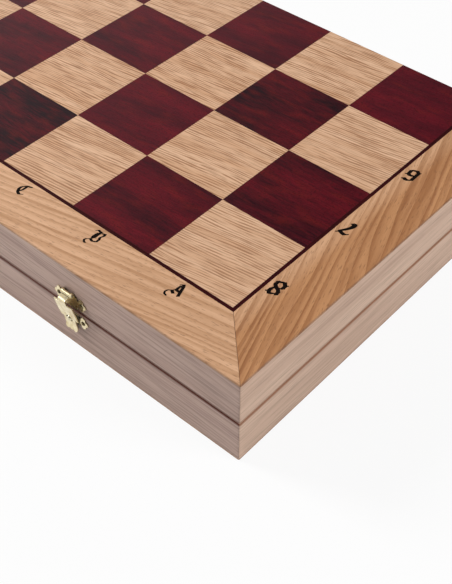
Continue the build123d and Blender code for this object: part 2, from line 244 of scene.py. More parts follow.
# %% [markdown]
# ## Oak veneer squares
#
# The light squares are thin slices of oak. Each has its own piece of grain: fine darker lines a
# couple of millimetres apart, not quite parallel to the board, wandering a little and breaking off.
# Image scans could show that, but they tile and stop at a fixed size. Stretched noise doesn't: the
# square's number picks its own place in the noise and its own slight turn.

# %% Find each square's own patch of grain
def square_place(finish, tilt, spread):
    """The place on a square's own sheet of veneer: turned by tilt and moved at random."""
    corner = (board_low.x, board_low.y, 0)
    steps = finish.vector("DIVIDE", finish.vector("SUBTRACT", finish.place, corner), (square, square, 1))
    number = finish.vector("MULTIPLY", finish.vector("FLOOR", steps), (1, 1, 0))
    value, colour = finish.luck(number)
    angle = finish.line(value, math.radians(-spread), math.radians(spread / 2 - tilt))
    moved = finish.vector("MULTIPLY_ADD", colour, (0.7, 0.5, 0.3), finish.turned(finish.place, angle))
    return moved, value, steps


def wander(finish, where, reach, length):
    """Bends straight grain gently sideways, by up to reach over about that length, in millimetres."""
    sway = finish.sum("SUBTRACT", finish.strands(where, length, length / 4, 1.0), 0.5)
    return finish.vector("ADD", where, finish.joined(0, finish.times(sway, reach * MM), 0))


JOINT = 0.12 * MM


def joint_line(finish, steps, colour, shade):
    """A thin darker line where one square meets the next."""
    x, y, _ = finish.split(finish.vector("FRACTION", steps))
    near = [finish.sum("ABSOLUTE", finish.sum("SUBTRACT", value, 0.5)) for value in (x, y)]
    edge = finish.rise(finish.sum("MAXIMUM", *near), 0.5 - JOINT / square, 0.5)
    return finish.mix(edge, colour, finish.mix(shade, colour, tint(30, 12, 10)))


# %% Mix the oak
def oak_squares():
    oak = Finish("oak veneer")
    where, luck, steps = square_place(oak, tilt=7, spread=6)
    where = wander(oak, where, 4, 50)
    bands = oak.strands(where, 100, 5.5)
    lines = oak.rings(where, 1.4, 2.0, 16)
    hairs = oak.strands(where, 9, 0.4)
    colour = oak.mix(oak.rise(bands, 0.35, 0.65), tint(215, 168, 131), tint(231, 188, 153))
    colour = oak.paint(colour, lines, 0.15, 0.75, 0.85, tint(152, 99, 60))
    colour = oak.paint(colour, hairs, 0.50, 0.70, 0.55, tint(132, 90, 60))
    colour = oak.mix(oak.times(luck, 0.15), colour, tint(226, 192, 164))
    colour = joint_line(oak, steps, colour, 0.6)
    oak.bump(oak.line(lines, -0.5, oak.times(hairs, -0.5)), 0.12 * MM)
    return oak.set(Base_Color=colour, Roughness=oak.line(lines, 0.2, 0.36), Specular_IOR_Level=0.3)


dress(oak_squares(), "upper_light_squares", "lower_light_squares")
print("oak on the light squares")

# %% [markdown]
# ## Burgundy veneer squares
#
# The dark squares are stained right through. The grain shows only as soft bands, redder and
# blacker, with fine streaks and pores in them. One flat dark red would look like paint, so the finish
# lays four such patterns over each other, and some squares come out redder than others.

# %% Mix the burgundy veneer
def burgundy_squares():
    stain = Finish("burgundy veneer")
    where, luck, steps = square_place(stain, tilt=3, spread=6)
    where = wander(stain, where, 6, 60)
    bands = stain.strands(where, 55, 11, 4.0)
    streaks = stain.strands(where, 10, 1.1)
    hairs = stain.strands(where, 4, 0.5)
    share = stain.line(streaks, 0.55, stain.line(bands, 1.2, -0.4))
    colour = stain.mix(stain.rise(share, 0.26, 0.74), tint(30, 3, 12), tint(96, 12, 25))
    colour = stain.paint(colour, hairs, 0.50, 0.70, 0.45, tint(26, 4, 9))
    colour = stain.mix(stain.times(luck, 0.4), colour, tint(112, 20, 36))
    mottle = stain.strands(where, 16, 5)
    colour = stain.paint(colour, mottle, 0.50, 0.74, 0.40, tint(116, 28, 24))
    pores = stain.noise(stain.vector("MULTIPLY", where, (1100, 1100, 1100)))
    colour = stain.paint(colour, pores, 0.52, 0.72, 0.45, tint(18, 2, 7))
    colour = joint_line(stain, steps, colour, 0.5)
    stain.bump(hairs, 0.06 * MM)
    return stain.set(Base_Color=colour, Roughness=stain.line(streaks, 0.16, 0.30), Specular_IOR_Level=0.16)


dress(burgundy_squares(), "upper_dark_squares", "lower_dark_squares")
print("burgundy on the dark squares")

# %% [markdown]
# ## Inlay line
#
# A narrow strip of the darkest veneer runs round three sides of the squares. It needs only a trace of
# its own streaks.

# %% Mix the inlay
def inlay():
    dark = Finish("dark inlay")
    streaks = dark.strands(dark.place, 6, 6)
    colour = dark.mix(streaks, tint(34, 4, 6), tint(62, 9, 13))
    return dark.set(Base_Color=colour, Roughness=0.5, Specular_IOR_Level=0.08)


dress(inlay(), "upper_inlay_line", "lower_inlay_line")
print("inlay dressed")

# %% [markdown]
# ## The frame's veneer
#
# Three strips of oak frame the board, mitred at the corners: grain along the front on one, along the
# side on the others. All three are one piece of the model, so the finish itself finds out on which
# side of the mitre a point lies. The strips are flat-sawn, with long slanting figure, and the side
# strips are browner towards the outside.
#
# A tree adds a pale layer and then a dark one each year, and the dark one ends sharply. So the years
# are counted across the strip with a slow drift, and the rest after the whole number, which climbs
# and then drops, gives the shade.

# %% Mix the frame's veneer
YEARS_PER_METRE = 260
FRONT_SLANT, SIDE_SLANT = 11, 18


def frame_strips():
    oak = Finish("frame veneer")
    x, y, _ = oak.split(oak.place)
    past_side = oak.sum("SUBTRACT", oak.sum("ABSOLUTE", x), side)
    past_front = oak.sum("SUBTRACT", front, y)
    to_mitre = oak.sum("SUBTRACT", past_side, past_front)
    on_side = oak.sum("GREATER_THAN", to_mitre, 0.0)
    on_right = oak.sum("GREATER_THAN", x, 0.0)
    front_place = oak.turned(oak.place, math.radians(-FRONT_SLANT))
    right_place = oak.turned(oak.vector("ADD", oak.place, (0, 0, 0.3)), math.radians(-90 - SIDE_SLANT))
    left_place = oak.vector("ADD", right_place, (0.4, 0.2, 0.7))
    where = oak.mix(on_side, front_place, oak.mix(on_right, left_place, right_place))
    where = wander(oak, where, 10, 120)
    bands = oak.strands(where, 160, 8, 1.0)
    lines = oak.rings(where, 3.6, 3.0, 40)
    drift = oak.times(oak.strands(where, 180, 14, 1.0), 3.2)
    years = oak.line(oak.split(where)["Y"], YEARS_PER_METRE, drift)
    growth = oak.rise(oak.sum("FRACT", years), 0.3, 1.0)
    fine = oak.strands(where, 20, 0.9)
    pores = oak.strands(where, 4, 0.5, 1.0)
    outer = oak.rise(past_side, -29 * MM, -18 * MM)
    brown = oak.sum("MAXIMUM", oak.times(on_side, outer), oak.times(on_side, 0.3))
    pale = oak.mix(brown, tint(226, 180, 143), tint(197, 143, 99))
    deep = oak.mix(brown, tint(190, 143, 105), tint(158, 105, 66))
    share = oak.line(lines, 0.25, oak.line(bands, 0.5, -0.13))
    share = oak.line(fine, 0.4, oak.line(growth, 0.42, share))
    colour = oak.mix(oak.rise(share, 0.25, 0.85), pale, deep)
    colour = oak.paint(colour, pores, 0.60, 0.70, 0.50, tint(120, 82, 56))
    cut = oak.rise(oak.sum("ABSOLUTE", to_mitre), 0.35 * MM, 0.0)
    rim = oak.rise(oak.sum("MAXIMUM", past_side, past_front), -0.7 * MM, 0.0)
    colour = oak.mix(oak.sum("MAXIMUM", oak.times(cut, 0.7), oak.times(rim, 0.38)), colour, tint(92, 56, 34))
    oak.bump(oak.line(lines, -0.5, oak.times(pores, -0.6)), 0.12 * MM)
    return oak.set(Base_Color=colour, Roughness=oak.line(lines, 0.2, 0.38), Specular_IOR_Level=0.3)


dress(frame_strips(), "upper_frame_veneer", "lower_frame_veneer")
print("frame strips dressed")

# %% [markdown]
# ## Rails
#
# The case's walls are plain oak, oiled and a little greyed, with the grain running along them.
# Straight grain is long thin noise again. Each rail is cut from another place in the same log. A
# dark band round the seam's height is painted shade of the gap between the halves: dark brown on
# the front and back rails, and on the side rails a paler brown that stands for the lit rim seen in
# the gap. It lies only on the outer faces, so that the rims keep their plain colour when the case
# opens. The front and back rails are painted darker and cooler than the side rails, as painted shade
# of the dimmer light on them.

# %% Mix one rail's oak
def rail_oak(name, along_y, tilt, shift, pale, deep):
    oak = Finish(f"{name} oak")
    where = oak.vector("ADD", oak.turned(oak.place, math.radians(-90 if along_y else 0)), shift)
    x, y, z = oak.split(where)
    where = oak.joined(x, y, oak.line(x, math.tan(math.radians(tilt)), z))
    sway = oak.times(oak.sum("SUBTRACT", oak.strands(where, 140, 40, 1.0), 0.5), 6 * MM)
    where = oak.vector("ADD", where, oak.joined(0, sway, sway))
    bands = oak.strands(where, 200, 6)
    lines = oak.strands(where, 40, 1)
    hairs = oak.strands(where, 12, 0.45)
    colour = oak.mix(oak.rise(bands, 0.30, 0.70), deep, pale)
    colour = oak.paint(colour, lines, 0.46, 0.68, 0.42 if along_y else 0.7, darker(deep, 0.66))
    colour = oak.paint(colour, hairs, 0.56, 0.72, 0.35, darker(deep, 0.45))
    level = oak.sum("ABSOLUTE", oak.split(oak.facing)["Z"])
    outside = oak.times(oak.rise(level, 0.98, 0.85), 0.8 if along_y else 0.96)
    # Painted shade: a band round the seam, on the outer faces only, stands for the gap between the halves.
    from_seam = oak.sum("ABSOLUTE", oak.sum("SUBTRACT", oak.split(oak.place)["Z"], seam))
    seam_gap_shade = oak.times(oak.rise(from_seam, 1.9 * MM, 0.7 * MM), outside)
    colour = oak.mix(seam_gap_shade, colour, tint(142, 86, 50) if along_y else tint(84, 27, 5))
    oak.bump(oak.line(lines, -0.5, oak.times(hairs, -0.6)), 0.15 * MM)
    return oak.set(Base_Color=colour, Roughness=oak.line(lines, 0.2, 0.45), Specular_IOR_Level=0.3)


rail_pale = tint(217, 187, 168)
rail_deep = tint(193, 161, 143)
for count, half in enumerate(("upper", "lower")):
    for turn, rail in enumerate(("front", "right", "back", "left")):
        tilt = 2.5 if (half, rail) == ("upper", "front") else 0.5
        name = f"{half}_{rail}_rail"
        shift = (0.31 * turn, 0.17 * count, 0.23 * turn + 0.41 * count)
        along_y = rail in ("right", "left")
        # Painted shade: the front and back rails are darker and cooler and the side rails a little warmer,
        # for the light on each; the oak is the same.
        shade = (1, 0.99, 0.94, 1) if along_y else (0.84, 0.84, 0.89, 1)
        pale, deep = ([c * s for c, s in zip(colour, shade)] for colour in (rail_pale, rail_deep))
        dress(rail_oak(name, along_y, tilt, shift, pale, deep), name)
print("eight rails dressed")

# %% [markdown]
# ## Brass
#
# The latches and hinges are stamped from thin bright brass sheet. Brass mirrors the room, so its look
# is mostly roughness: a little cloudiness in patches, fine rolling lines, and edges rounded by the
# stamping, which catch the light. Shade is painted into the hollows and gaps between parts. The nails
# and screws are the same metal in a darker colour.

# %% Mix bright and dark brass, and the wire of the pins
def brass(name, bright, dull, rough):
    """Sheet metal with cloudy patches, fine scratches, painted shade in its hollows and soft edges."""
    metal = Finish(name)
    cloud = metal.cloud((350, 350, 350), 3.0)
    scratch = metal.cloud((900, 900, 5200))
    colour = metal.mix(metal.rise(cloud, 0.40, 0.66), bright, dull)
    # Painted shade: ambient occlusion darkens the colour nearly to black in hollows and between parts.
    hollow = metal.node("ShaderNodeAmbientOcclusion", samples=4)
    hollow.inputs["Distance"].default_value = 3 * MM
    colour = metal.mix(metal.rise(hollow.outputs["AO"], 0.30, 0.75), darker(dull, 0.16), colour)
    spread = metal.line(scratch, 0.10, metal.line(metal.rise(cloud, 0.35, 0.7), 0.16, rough))
    metal.bump(metal.sum("ADD", scratch, cloud), 0.02 * MM, 0.16 * MM)
    return metal.set(Base_Color=colour, Metallic=1.0, Roughness=spread)


bright_brass = brass("bright brass", tint(238, 224, 186), tint(216, 198, 154), 0.20)
dark_brass = brass("dark brass", tint(120, 104, 70), tint(76, 62, 40), 0.30)
stud_brass = brass("stud brass", tint(236, 226, 200), tint(200, 188, 150), 0.16)
pin_wire = brass("pin wire", tint(190, 186, 178), tint(150, 146, 138), 0.28)
print("three shades of brass, and wire")

# %% [markdown]
# ## Tools for metal and turned pieces
#
# Two ways of making cover nearly everything that isn't wood veneer. A *pressed sheet* is a flat
# outline cut into small triangles, bent over a path and given a thickness, as a press does with
# brass. A *turned form* is an outline spun round an axis, as a lathe does. Both are written here as
# mesh code, so every curve stays adjustable.

# %% Join discs and bars into one flat outline
def round_steps(count, shift=0.0):
    """The angles of that many points, evenly round a circle."""
    return [2 * math.pi * (i + shift) / count for i in range(count)]


def disc(x, z, radius, sides=28):
    """A round polygon in the flat sheet, in millimetres."""
    return [(x + radius * math.cos(a), z + radius * math.sin(a)) for a in round_steps(sides)]


def bar(x_low, x_high, z_low, z_high):
    """A rectangle in the flat sheet, with points along its sides so that it can bend."""
    count = max(1, round((z_high - z_low) / 0.5))
    rises = [z_low + (z_high - z_low) * i / count for i in range(count + 1)]
    return [(x_high, z) for z in rises] + [(x_low, z) for z in rises[::-1]]


def flat_triangles(shapes, holes, step):
    """The joined shapes without the holes, cut into triangles of about that step."""
    corners, faces = [], []
    for shape in shapes + holes:
        faces.append(list(range(len(corners), len(corners) + len(shape))))
        corners += [Vector(point) for point in shape]
    x_all, z_all = [c.x for c in corners], [c.y for c in corners]
    across = int((max(x_all) - min(x_all)) / step)
    up = int((max(z_all) - min(z_all)) / step)
    corners += [
        Vector((min(x_all) + (i + 0.5 * (j % 2) + 0.37) * step, min(z_all) + (j + 0.41) * step))
        for i in range(across) for j in range(up)
    ]
    corners, _, triangles, _, _, sources = delaunay_2d_cdt(corners, [], faces, 1, 1e-4)
    inside = [bool(source) and max(source) < len(shapes) for source in sources]
    return corners, [triangle for triangle, keep in zip(triangles, inside) if keep]


def two_layers(mesh, corners, triangles, front_of, back_of):
    """A closed skin: the same triangles at the front and at the back, and a wall round every edge."""
    used = sorted({i for triangle in triangles for i in triangle})
    layers = [{i: mesh.verts.new(place(corners[i])) for i in used} for place in (front_of, back_of)]
    sides = {(face[i], face[(i + 1) % 3]) for face in triangles for i in range(3)}
    for face in triangles:
        mesh.faces.new([layers[0][i] for i in face])
        mesh.faces.new([layers[1][i] for i in reversed(face)])
    for a, b in sides:
        if (b, a) not in sides:
            mesh.faces.new([layers[1][a], layers[1][b], layers[0][b], layers[0][a]])


print("outline tools ready")

# %% Bend a flat outline into a pressed sheet
def rounded_path(points, radius):
    """Straight runs through the points, with each inner corner rounded."""
    path = [Vector(points[0])]
    for before, corner, after in zip(points, points[1:], points[2:]):
        before, corner, after = Vector(before), Vector(corner), Vector(after)
        reach = min(radius, (corner - before).length / 2.1, (after - corner).length / 2.1)
        start = corner + (before - corner).normalized() * reach
        end = corner + (after - corner).normalized() * reach
        for step in range(7):
            t = step / 6
            path.append(start * (1 - t) ** 2 + corner * 2 * t * (1 - t) + end * t ** 2)
    return path + [Vector(points[-1])]


def arc_path(centre, radius, start, end, steps=30):
    """Part of a circle round a centre, from one angle to another in degrees."""
    angles = [math.radians(start + (end - start) * i / steps) for i in range(steps + 1)]
    x, y = centre
    return [Vector((x + radius * math.cos(a), y + radius * math.sin(a))) for a in angles]


def path_lengths(path):
    """How far along the path each of its points is."""
    along = [0.0]
    for a, b in zip(path, path[1:]):
        along.append(along[-1] + (b - a).length)
    return along


def on_path(path, along, distance):
    """The point and the direction at that distance along a path."""
    for i in range(len(path) - 1):
        if distance <= along[i + 1] or i == len(path) - 2:
            share = (distance - along[i]) / max(along[i + 1] - along[i], 1e-9)
            step = path[i + 1] - path[i]
            return path[i] + step * share, step.normalized()


def pressed_sheet(mesh, place, shapes, holes, path, thickness, step, swell):
    """Bends an outline (x, distance along the path) over a path of (reach, height), in millimetres."""
    corners, triangles = flat_triangles(shapes, holes, step)
    along = path_lengths(path)

    def layer(side):
        def put(corner):
            spot, way = on_path(path, along, corner.y)
            out = Vector((way.y, -way.x))
            spot = spot + out * (side * thickness / 2 + swell(corner.x, corner.y))
            return place @ (Vector((corner.x, -spot.x, spot.y)) * MM)
        return put

    two_layers(mesh, corners, triangles, layer(1), layer(-1))


print("sheets can be pressed")

# %% Draw an outline for the lathe
def points_of(text):
    """Points written as "0,1 2,3". One with a ! behind it comes twice, which makes a sharp corner."""
    points = []
    for word in text.split():
        point = tuple(float(number) for number in word.rstrip("!").split(","))
        points += [point, point] if word.endswith("!") else [point]
    return points


def smooth_outline(points, steps=5):
    """A curve through (radius, height) points, broken at each point that comes twice in a row."""
    runs, run = [], [points[0]]
    for point in points[1:]:
        if point == run[-1]:
            runs.append(run)
            run = [point]
        else:
            run.append(point)
    curve = []
    for run in runs + [run]:
        ends = [run[0]] + run + [run[-1]]
        for i in range(1, len(ends) - 2):
            p0, p1, p2, p3 = (Vector(ends[i + k]) for k in (-1, 0, 1, 2))
            bend, lean = 2 * p0 - 5 * p1 + 4 * p2 - p3, 3 * p1 - p0 - 3 * p2 + p3
            for step in range(steps):
                t = step / steps
                curve.append(0.5 * (2 * p1 + (p2 - p0) * t + bend * t ** 2 + lean * t ** 3))
        curve.append(Vector(run[-1]))
    return curve


print("outlines can be drawn")

# %% Turn the outline
def join_rings(mesh, rings):
    """A wall from each ring of points to the next."""
    for low, high in zip(rings, rings[1:]):
        for i in range(len(low)):
            j = (i + 1) % len(low)
            mesh.faces.new([low[i], low[j], high[j], high[i]])


def ring(mesh, place, radius, height, angles):
    """A circle of points round +Z, in millimetres."""
    spots = (Vector((radius * math.cos(a), radius * math.sin(a), height)) for a in angles)
    return [mesh.verts.new(place @ (spot * MM)) for spot in spots]


def turned(mesh, place, outline, sides=32):
    """Spins (radius, height) points round +Z, closed at both ends, then puts the form in its place."""
    angles = round_steps(sides, 0.5)
    rings = [ring(mesh, place, max(point[0], 1e-4), point[1], angles) for point in outline]
    join_rings(mesh, rings)
    mesh.faces.new(rings[0][::-1])
    mesh.faces.new(rings[-1])


print("lathe ready")

# %% Finish a piece
def as_data(mesh, name="in work"):
    """Puts a mesh in work away as mesh data."""
    data = bpy.data.meshes.new(name)
    mesh.to_mesh(data)
    mesh.free()
    return data


def as_object(name, data):
    """An object in the scene that shows that mesh data."""
    made = bpy.data.objects.new(name, data)
    bpy.context.scene.collection.objects.link(made)
    return made


def cleaned(mesh):
    """Joins points that lie in one spot, and turns all faces outward."""
    bmesh.ops.remove_doubles(mesh, verts=mesh.verts, dist=1e-6)
    bmesh.ops.recalc_face_normals(mesh, faces=mesh.faces)
    return mesh


def finish_piece(name, mesh, material, body, stands_for, crease=35):
    """Makes the piece from its mesh, smooth but for real edges, on its body and in the plain one's place."""
    data = as_data(cleaned(mesh), name)
    data.polygons.foreach_set("use_smooth", [True] * len(data.polygons))
    data.set_sharp_from_angle(angle=math.radians(crease))
    data.materials.append(material)
    made = as_object(name, data)
    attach(made, body)
    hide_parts(*stands_for)
    print(name, len(data.polygons), "faces")
    return made


print("pieces can be finished")

# %% [markdown]
# ## The latches
#
# Each latch is four stamped pieces of brass. The upper plate has trefoil wings with a nail in each
# and two lugs that curl forward into knuckles. The lower plate carries a ball stud. Between the
# lugs, on a wire pin, hangs the flap: its strap curls round the pin, steps forward as a small shelf,
# widens to shoulders and narrows to a tongue with a hole that drops over the stud.
#
# A boolean model of sheet metal tends to leave torn corners. Cutting the flat outline first and
# bending it afterwards is what the press does, and it keeps the thickness even round every bend.

# %% Sizes of a latch, in millimetres from its own middle on the seam
flap_low, flap_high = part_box("right_latch_flap")
stud_low, stud_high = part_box("latch_studs")
latch_x = (flap_low.x + flap_high.x) / 2
SHEET = 0.6
BARREL = 1.1
AXIS = ((front - flap_high.y) / MM + BARREL, (flap_high.z - seam) / MM - BARREL)
STUD_Z = ((stud_low.z + stud_high.z) / 2 - seam) / MM
NAIL_X, UPPER_NAIL_Z, LOWER_NAIL_Z = 7.1, 6.0, -5.3
BRIDGE, BOSS, PETAL, PETAL_X = 1.7, 2.1, 1.4, 8.6
PLATE, LUG_IN, LUG_OUT = 4.5, 2.1, 3.4
STRAP, SHOULDER, TONGUE, HOLE = 2.3, 5.9, 3.8, 1.95
SHOULDER_TOP, TONGUE_TOP, FLAP_FOOT, FOOT_CORNER = 6.4, -4.2, -13.0, 1.5
print("latch centre", round(latch_x / MM, 2), "pin at", [round(v, 2) for v in AXIS])
print("stud at", round(STUD_Z, 2))

# %% Ways to place and to swell
QUARTER = math.radians(90)


def moved(x, y, z):
    """A move by millimetres."""
    return Matrix.Translation((x * MM, y * MM, z * MM))


def spun(axis, angle):
    return Matrix.Rotation(angle, 4, axis)


def latch_place(side):
    """Moves millimetres round a latch's own middle to the case: x across, y inward, z up from the seam."""
    return Matrix.Translation((side * latch_x, front, seam))


def clamp(value):
    return min(1.0, max(0.0, value))


def hump(distance, width):
    """1 at no distance, and a soft fall to nothing over about the width."""
    return math.exp(-(distance / width) ** 2)


print("a quarter turn is", round(QUARTER, 3), "radians")

# %% Press the plates
def wings(height):
    """Two trefoil wings, joined across the middle."""
    shapes = [bar(-NAIL_X, NAIL_X, height - BRIDGE, height + BRIDGE)]
    for side in (-1, 1):
        shapes += [disc(side * NAIL_X, height, BOSS), disc(side * PETAL_X, height, PETAL)]
        shapes += [disc(side * NAIL_X, height + rise, PETAL) for rise in (-BOSS, BOSS)]
    return shapes


def stamped_dimple(x, z, height):
    """The swell of a wing: a low ridge round each nail, and a dip at the tip of each petal."""
    from_nail = math.hypot(abs(x) - NAIL_X, z - height)
    side_petal = math.hypot(abs(x) - 8.9, z - height)
    other_petals = math.hypot(abs(x) - NAIL_X, abs(z - height) - 2.4)
    return 0.16 * hump(from_nail - 1.75, 0.35) - 0.14 * hump(min(side_petal, other_petals), 0.5)


def press_plates(name, body, stands_for, shapes, path, swell):
    """The same plate on both latches, as one piece."""
    mesh = bmesh.new()
    for side in (-1, 1):
        pressed_sheet(mesh, latch_place(side), shapes, [], path, SHEET, 0.5, swell)
    finish_piece(name, mesh, bright_brass, body, [stands_for])


def upper_plates():
    foot, bend = 1.4, AXIS[1] - 1.2
    middle = BARREL - SHEET / 2
    climb = [(SHEET / 2, foot), (SHEET / 2, AXIS[1] - 0.1), (0.7, AXIS[1] + 0.7), (AXIS[0], AXIS[1] + middle)]
    path = rounded_path(climb, 0.6) + arc_path(AXIS, middle, 88, -190)
    plate = wings(UPPER_NAIL_Z) + [bar(-PLATE, PLATE, foot, bend)]
    shapes = [[(x, z - foot) for x, z in shape] for shape in plate]
    for low, high in ((LUG_IN, LUG_OUT), (-LUG_OUT, -LUG_IN)):
        shapes.append(bar(low, high, bend - foot - 0.5, path_lengths(path)[-1]))

    def swell(x, v):
        return stamped_dimple(x, v + foot, UPPER_NAIL_Z) if v < bend - foot else 0.0

    press_plates("stamped_upper_plates", "upper_case", "latch_upper_plates", shapes, path, swell)


def lower_plates():
    middle, end = -8.4, 2.6
    start = middle - end - 1
    path = [Vector((SHEET / 2, start)), Vector((SHEET / 2, 0))]
    plate = wings(LOWER_NAIL_Z) + [bar(-PLATE, PLATE, middle, -2.2), disc(0, middle, end)]
    shapes = [[(x, z - start) for x, z in shape] for shape in plate]

    def swell(x, v):
        return stamped_dimple(x, v + start, LOWER_NAIL_Z)

    press_plates("stamped_lower_plates", "lower_case", "latch_lower_plates", shapes, path, swell)


upper_plates()
lower_plates()

# %% [markdown]
# A flap is one strip, seen from the side: it curls round the pin, runs out as the shelf and falls
# steeply to its foot. Its outline is known by height, and the press needs it by distance along the
# strip, so `drop` looks up how far along the strip a height is reached. The face is pressed hollow
# from behind, which makes it catch the light as a soft swell.

# %% Press the flaps
def flap(side, name, body):
    mesh = bmesh.new()
    shelf = AXIS[1] - BARREL + SHEET / 2
    curl = arc_path(AXIS, BARREL - SHEET / 2, 5, 268)
    ledge = [(AXIS[0] + 0.1, shelf + 0.2), (5.4, shelf - 0.5)]
    path = curl + rounded_path(ledge + [(2.3, TONGUE_TOP), (1.25, -10.6), (2.0, FLAP_FOOT)], 0.6)
    along = path_lengths(path)

    def drop(z):
        """How far along the strip the front reaches height z."""
        low, high = along[len(curl) + 4], along[-1]
        for _ in range(40):
            middle = (low + high) / 2
            low, high = (middle, high) if on_path(path, along, middle)[0].y > z else (low, middle)
        return (low + high) / 2

    def down(shape):
        return [(x, drop(z)) for x, z in shape[::-1]]

    rounding = FLAP_FOOT + FOOT_CORNER
    shapes = [bar(-STRAP, STRAP, 0, drop(5.0)), down(bar(-SHOULDER, SHOULDER, TONGUE_TOP, SHOULDER_TOP))]
    shapes.append(down(bar(-TONGUE, TONGUE, rounding, TONGUE_TOP + 0.2)))
    shapes += [down(disc(x, rounding, FOOT_CORNER)) for x in (-2.3, 0, 2.3)]
    shoulder, tongue, stud = drop(SHOULDER_TOP), drop(TONGUE_TOP), drop(STUD_Z)

    def crown(x, v):
        """The swell of the face, and a rim round the stud's hole."""
        if v < shoulder:
            return 0.0
        half = SHOULDER if v < tongue else TONGUE
        face = 0.3 * clamp(1 - (x / half) ** 2) * clamp((v - shoulder) / 2.0)
        from_stud = math.hypot(x, v - stud)
        return face * clamp((from_stud - HOLE) / 1.2) + 0.12 * hump(from_stud - 2.3, 0.3)

    hole = down(disc(0, STUD_Z, HOLE))
    pressed_sheet(mesh, latch_place(side), shapes, [hole], path, SHEET, 0.45, crown)
    finish_piece(name, mesh, bright_brass, body, [f"{body}_flap"])


flap(-1, "pressed_left_flap", "left_latch")
flap(1, "pressed_right_flap", "right_latch")

# %% [markdown]
# Nails, studs and pins are small turned forms. Each is drawn from one end to the other with a few
# points, and `!` marks the corners that stay sharp. The lathe turns them upright, and a quarter turn
# lays them into the front of the case. A plain cylinder with a bevel would be quicker, but it has no
# dome to catch the light.

# %% Turn the studs, nails and pins
def on_plate(side, x, z):
    """A lathe's place on a plate's face, whose +Z runs out of the front of the case."""
    return latch_place(side) @ moved(x, -SHEET, z) @ spun("X", QUARTER)


def nails(name, height, body, stands_for):
    mesh = bmesh.new()
    text = "0.12,-6.9 0.45,-6! 0.45,0! 1.05,0.02 1.08,0.16 0.8,0.45 0.35,0.58 0.02,0.6"
    head = smooth_outline(points_of(text), 4)
    for side in (-1, 1):
        for x in (-NAIL_X, NAIL_X):
            turned(mesh, on_plate(side, x, height), head, 20)
    finish_piece(name, mesh, dark_brass, body, [stands_for])


def studs():
    mesh = bmesh.new()
    text = "1.2,0 0.95,0.3 1.1,0.7 1.45,1.2 1.48,1.75 1.1,2.35 0.5,2.66 0.02,2.7"
    for side in (-1, 1):
        turned(mesh, on_plate(side, 0, STUD_Z), smooth_outline(points_of(text)), 32)
    finish_piece("ball_studs", mesh, stud_brass, "lower_case", ["latch_studs"])


def latch_pins():
    mesh = bmesh.new()
    half, radius = 3.4, 0.44
    end = [(0.02, half + 0.05), (0.25, half), (radius, half - 0.2), (radius, half - 0.2)]
    rod = smooth_outline([(r, -z) for r, z in end] + end[::-1], 3)
    for side in (-1, 1):
        turned(mesh, latch_place(side) @ moved(0, -AXIS[0], AXIS[1]) @ spun("Y", QUARTER), rod, 20)
    finish_piece("latch_pin_wires", mesh, pin_wire, "upper_case", ["latch_pins"])


nails("upper_plate_nails", UPPER_NAIL_Z, "upper_case", "latch_upper_nails")
nails("lower_plate_nails", LOWER_NAIL_Z, "lower_case", "latch_lower_nails")
studs()
latch_pins()

# %% [markdown]
# ## Screws
#
# Each hinge leaf is let into the back rim and held by two small countersunk screws. Their slots never
# line up on a real hinge, so each gets its own turn. The slot is cut with a boolean, which is safe
# here, because one plain box goes through one solid head. The men need the same cutters later.

# %% Find the places of forms that share one measured piece
def spots_of(name):
    """Where the points of a measured piece are."""
    return [nodes[name].matrix_world @ point.co for point in nodes[name].data.vertices]


def within(spots, low, high):
    """The spots between two places along X."""
    return [spot for spot in spots if low - 1e-6 <= spot.x <= high + 1e-6]


def boxes_along_x(name):
    """The boxes of a measured piece's separate forms, found by the gaps between them along X."""
    spots = spots_of(name)
    faces = [[spots[i].x for i in face.vertices] for face in nodes[name].data.polygons]
    spans = sorted((min(face), max(face)) for face in faces)
    runs = [list(spans[0])]
    for low, high in spans:
        if low > runs[-1][1] + 0.5 * MM:
            runs.append([low, high])
        runs[-1][1] = max(runs[-1][1], high)
    boxes = []
    for low, high in runs:
        near = within(spots, low, high)
        boxes.append([Vector([pick(p[k] for p in near) for k in range(3)]) for pick in (min, max)])
    return boxes


print(len(boxes_along_x("hinge_lower_screws")), "screws in the lower half")

# %% Cut one mesh with others
def carved(body, cutters):
    """Takes the cutters' forms out of a body. All of them are meshes in work, and so is the answer."""
    stock, *tools = (as_object("in work", as_data(cleaned(mesh))) for mesh in [body] + cutters)
    for tool in tools:
        cut = stock.modifiers.new("cut", "BOOLEAN")
        cut.operation, cut.object = "DIFFERENCE", tool
    whole = stock.evaluated_get(bpy.context.evaluated_depsgraph_get())
    result = bmesh.new()
    result.from_mesh(whole.to_mesh())
    whole.to_mesh_clear()
    for made in [stock] + tools:
        data = made.data
        bpy.data.objects.remove(made)
        bpy.data.meshes.remove(data)
    return result


def saw(low, high, place=Matrix()):
    """A box-shaped cutter between two corners, in millimetres."""
    mesh = bmesh.new()
    size, middle = Vector(high) - Vector(low), (Vector(high) + Vector(low)) / 2
    shape = Matrix.Translation(middle * MM) @ Matrix.Diagonal((*(size * MM), 1))
    bmesh.ops.create_cube(mesh, size=1, matrix=place @ shape)
    return mesh


def joined(meshes):
    """Puts several meshes in work together."""
    first = meshes[0]
    for other in meshes[1:]:
        data = as_data(other)
        first.from_mesh(data)
        bpy.data.meshes.remove(data)
    return first


print("cutters ready")

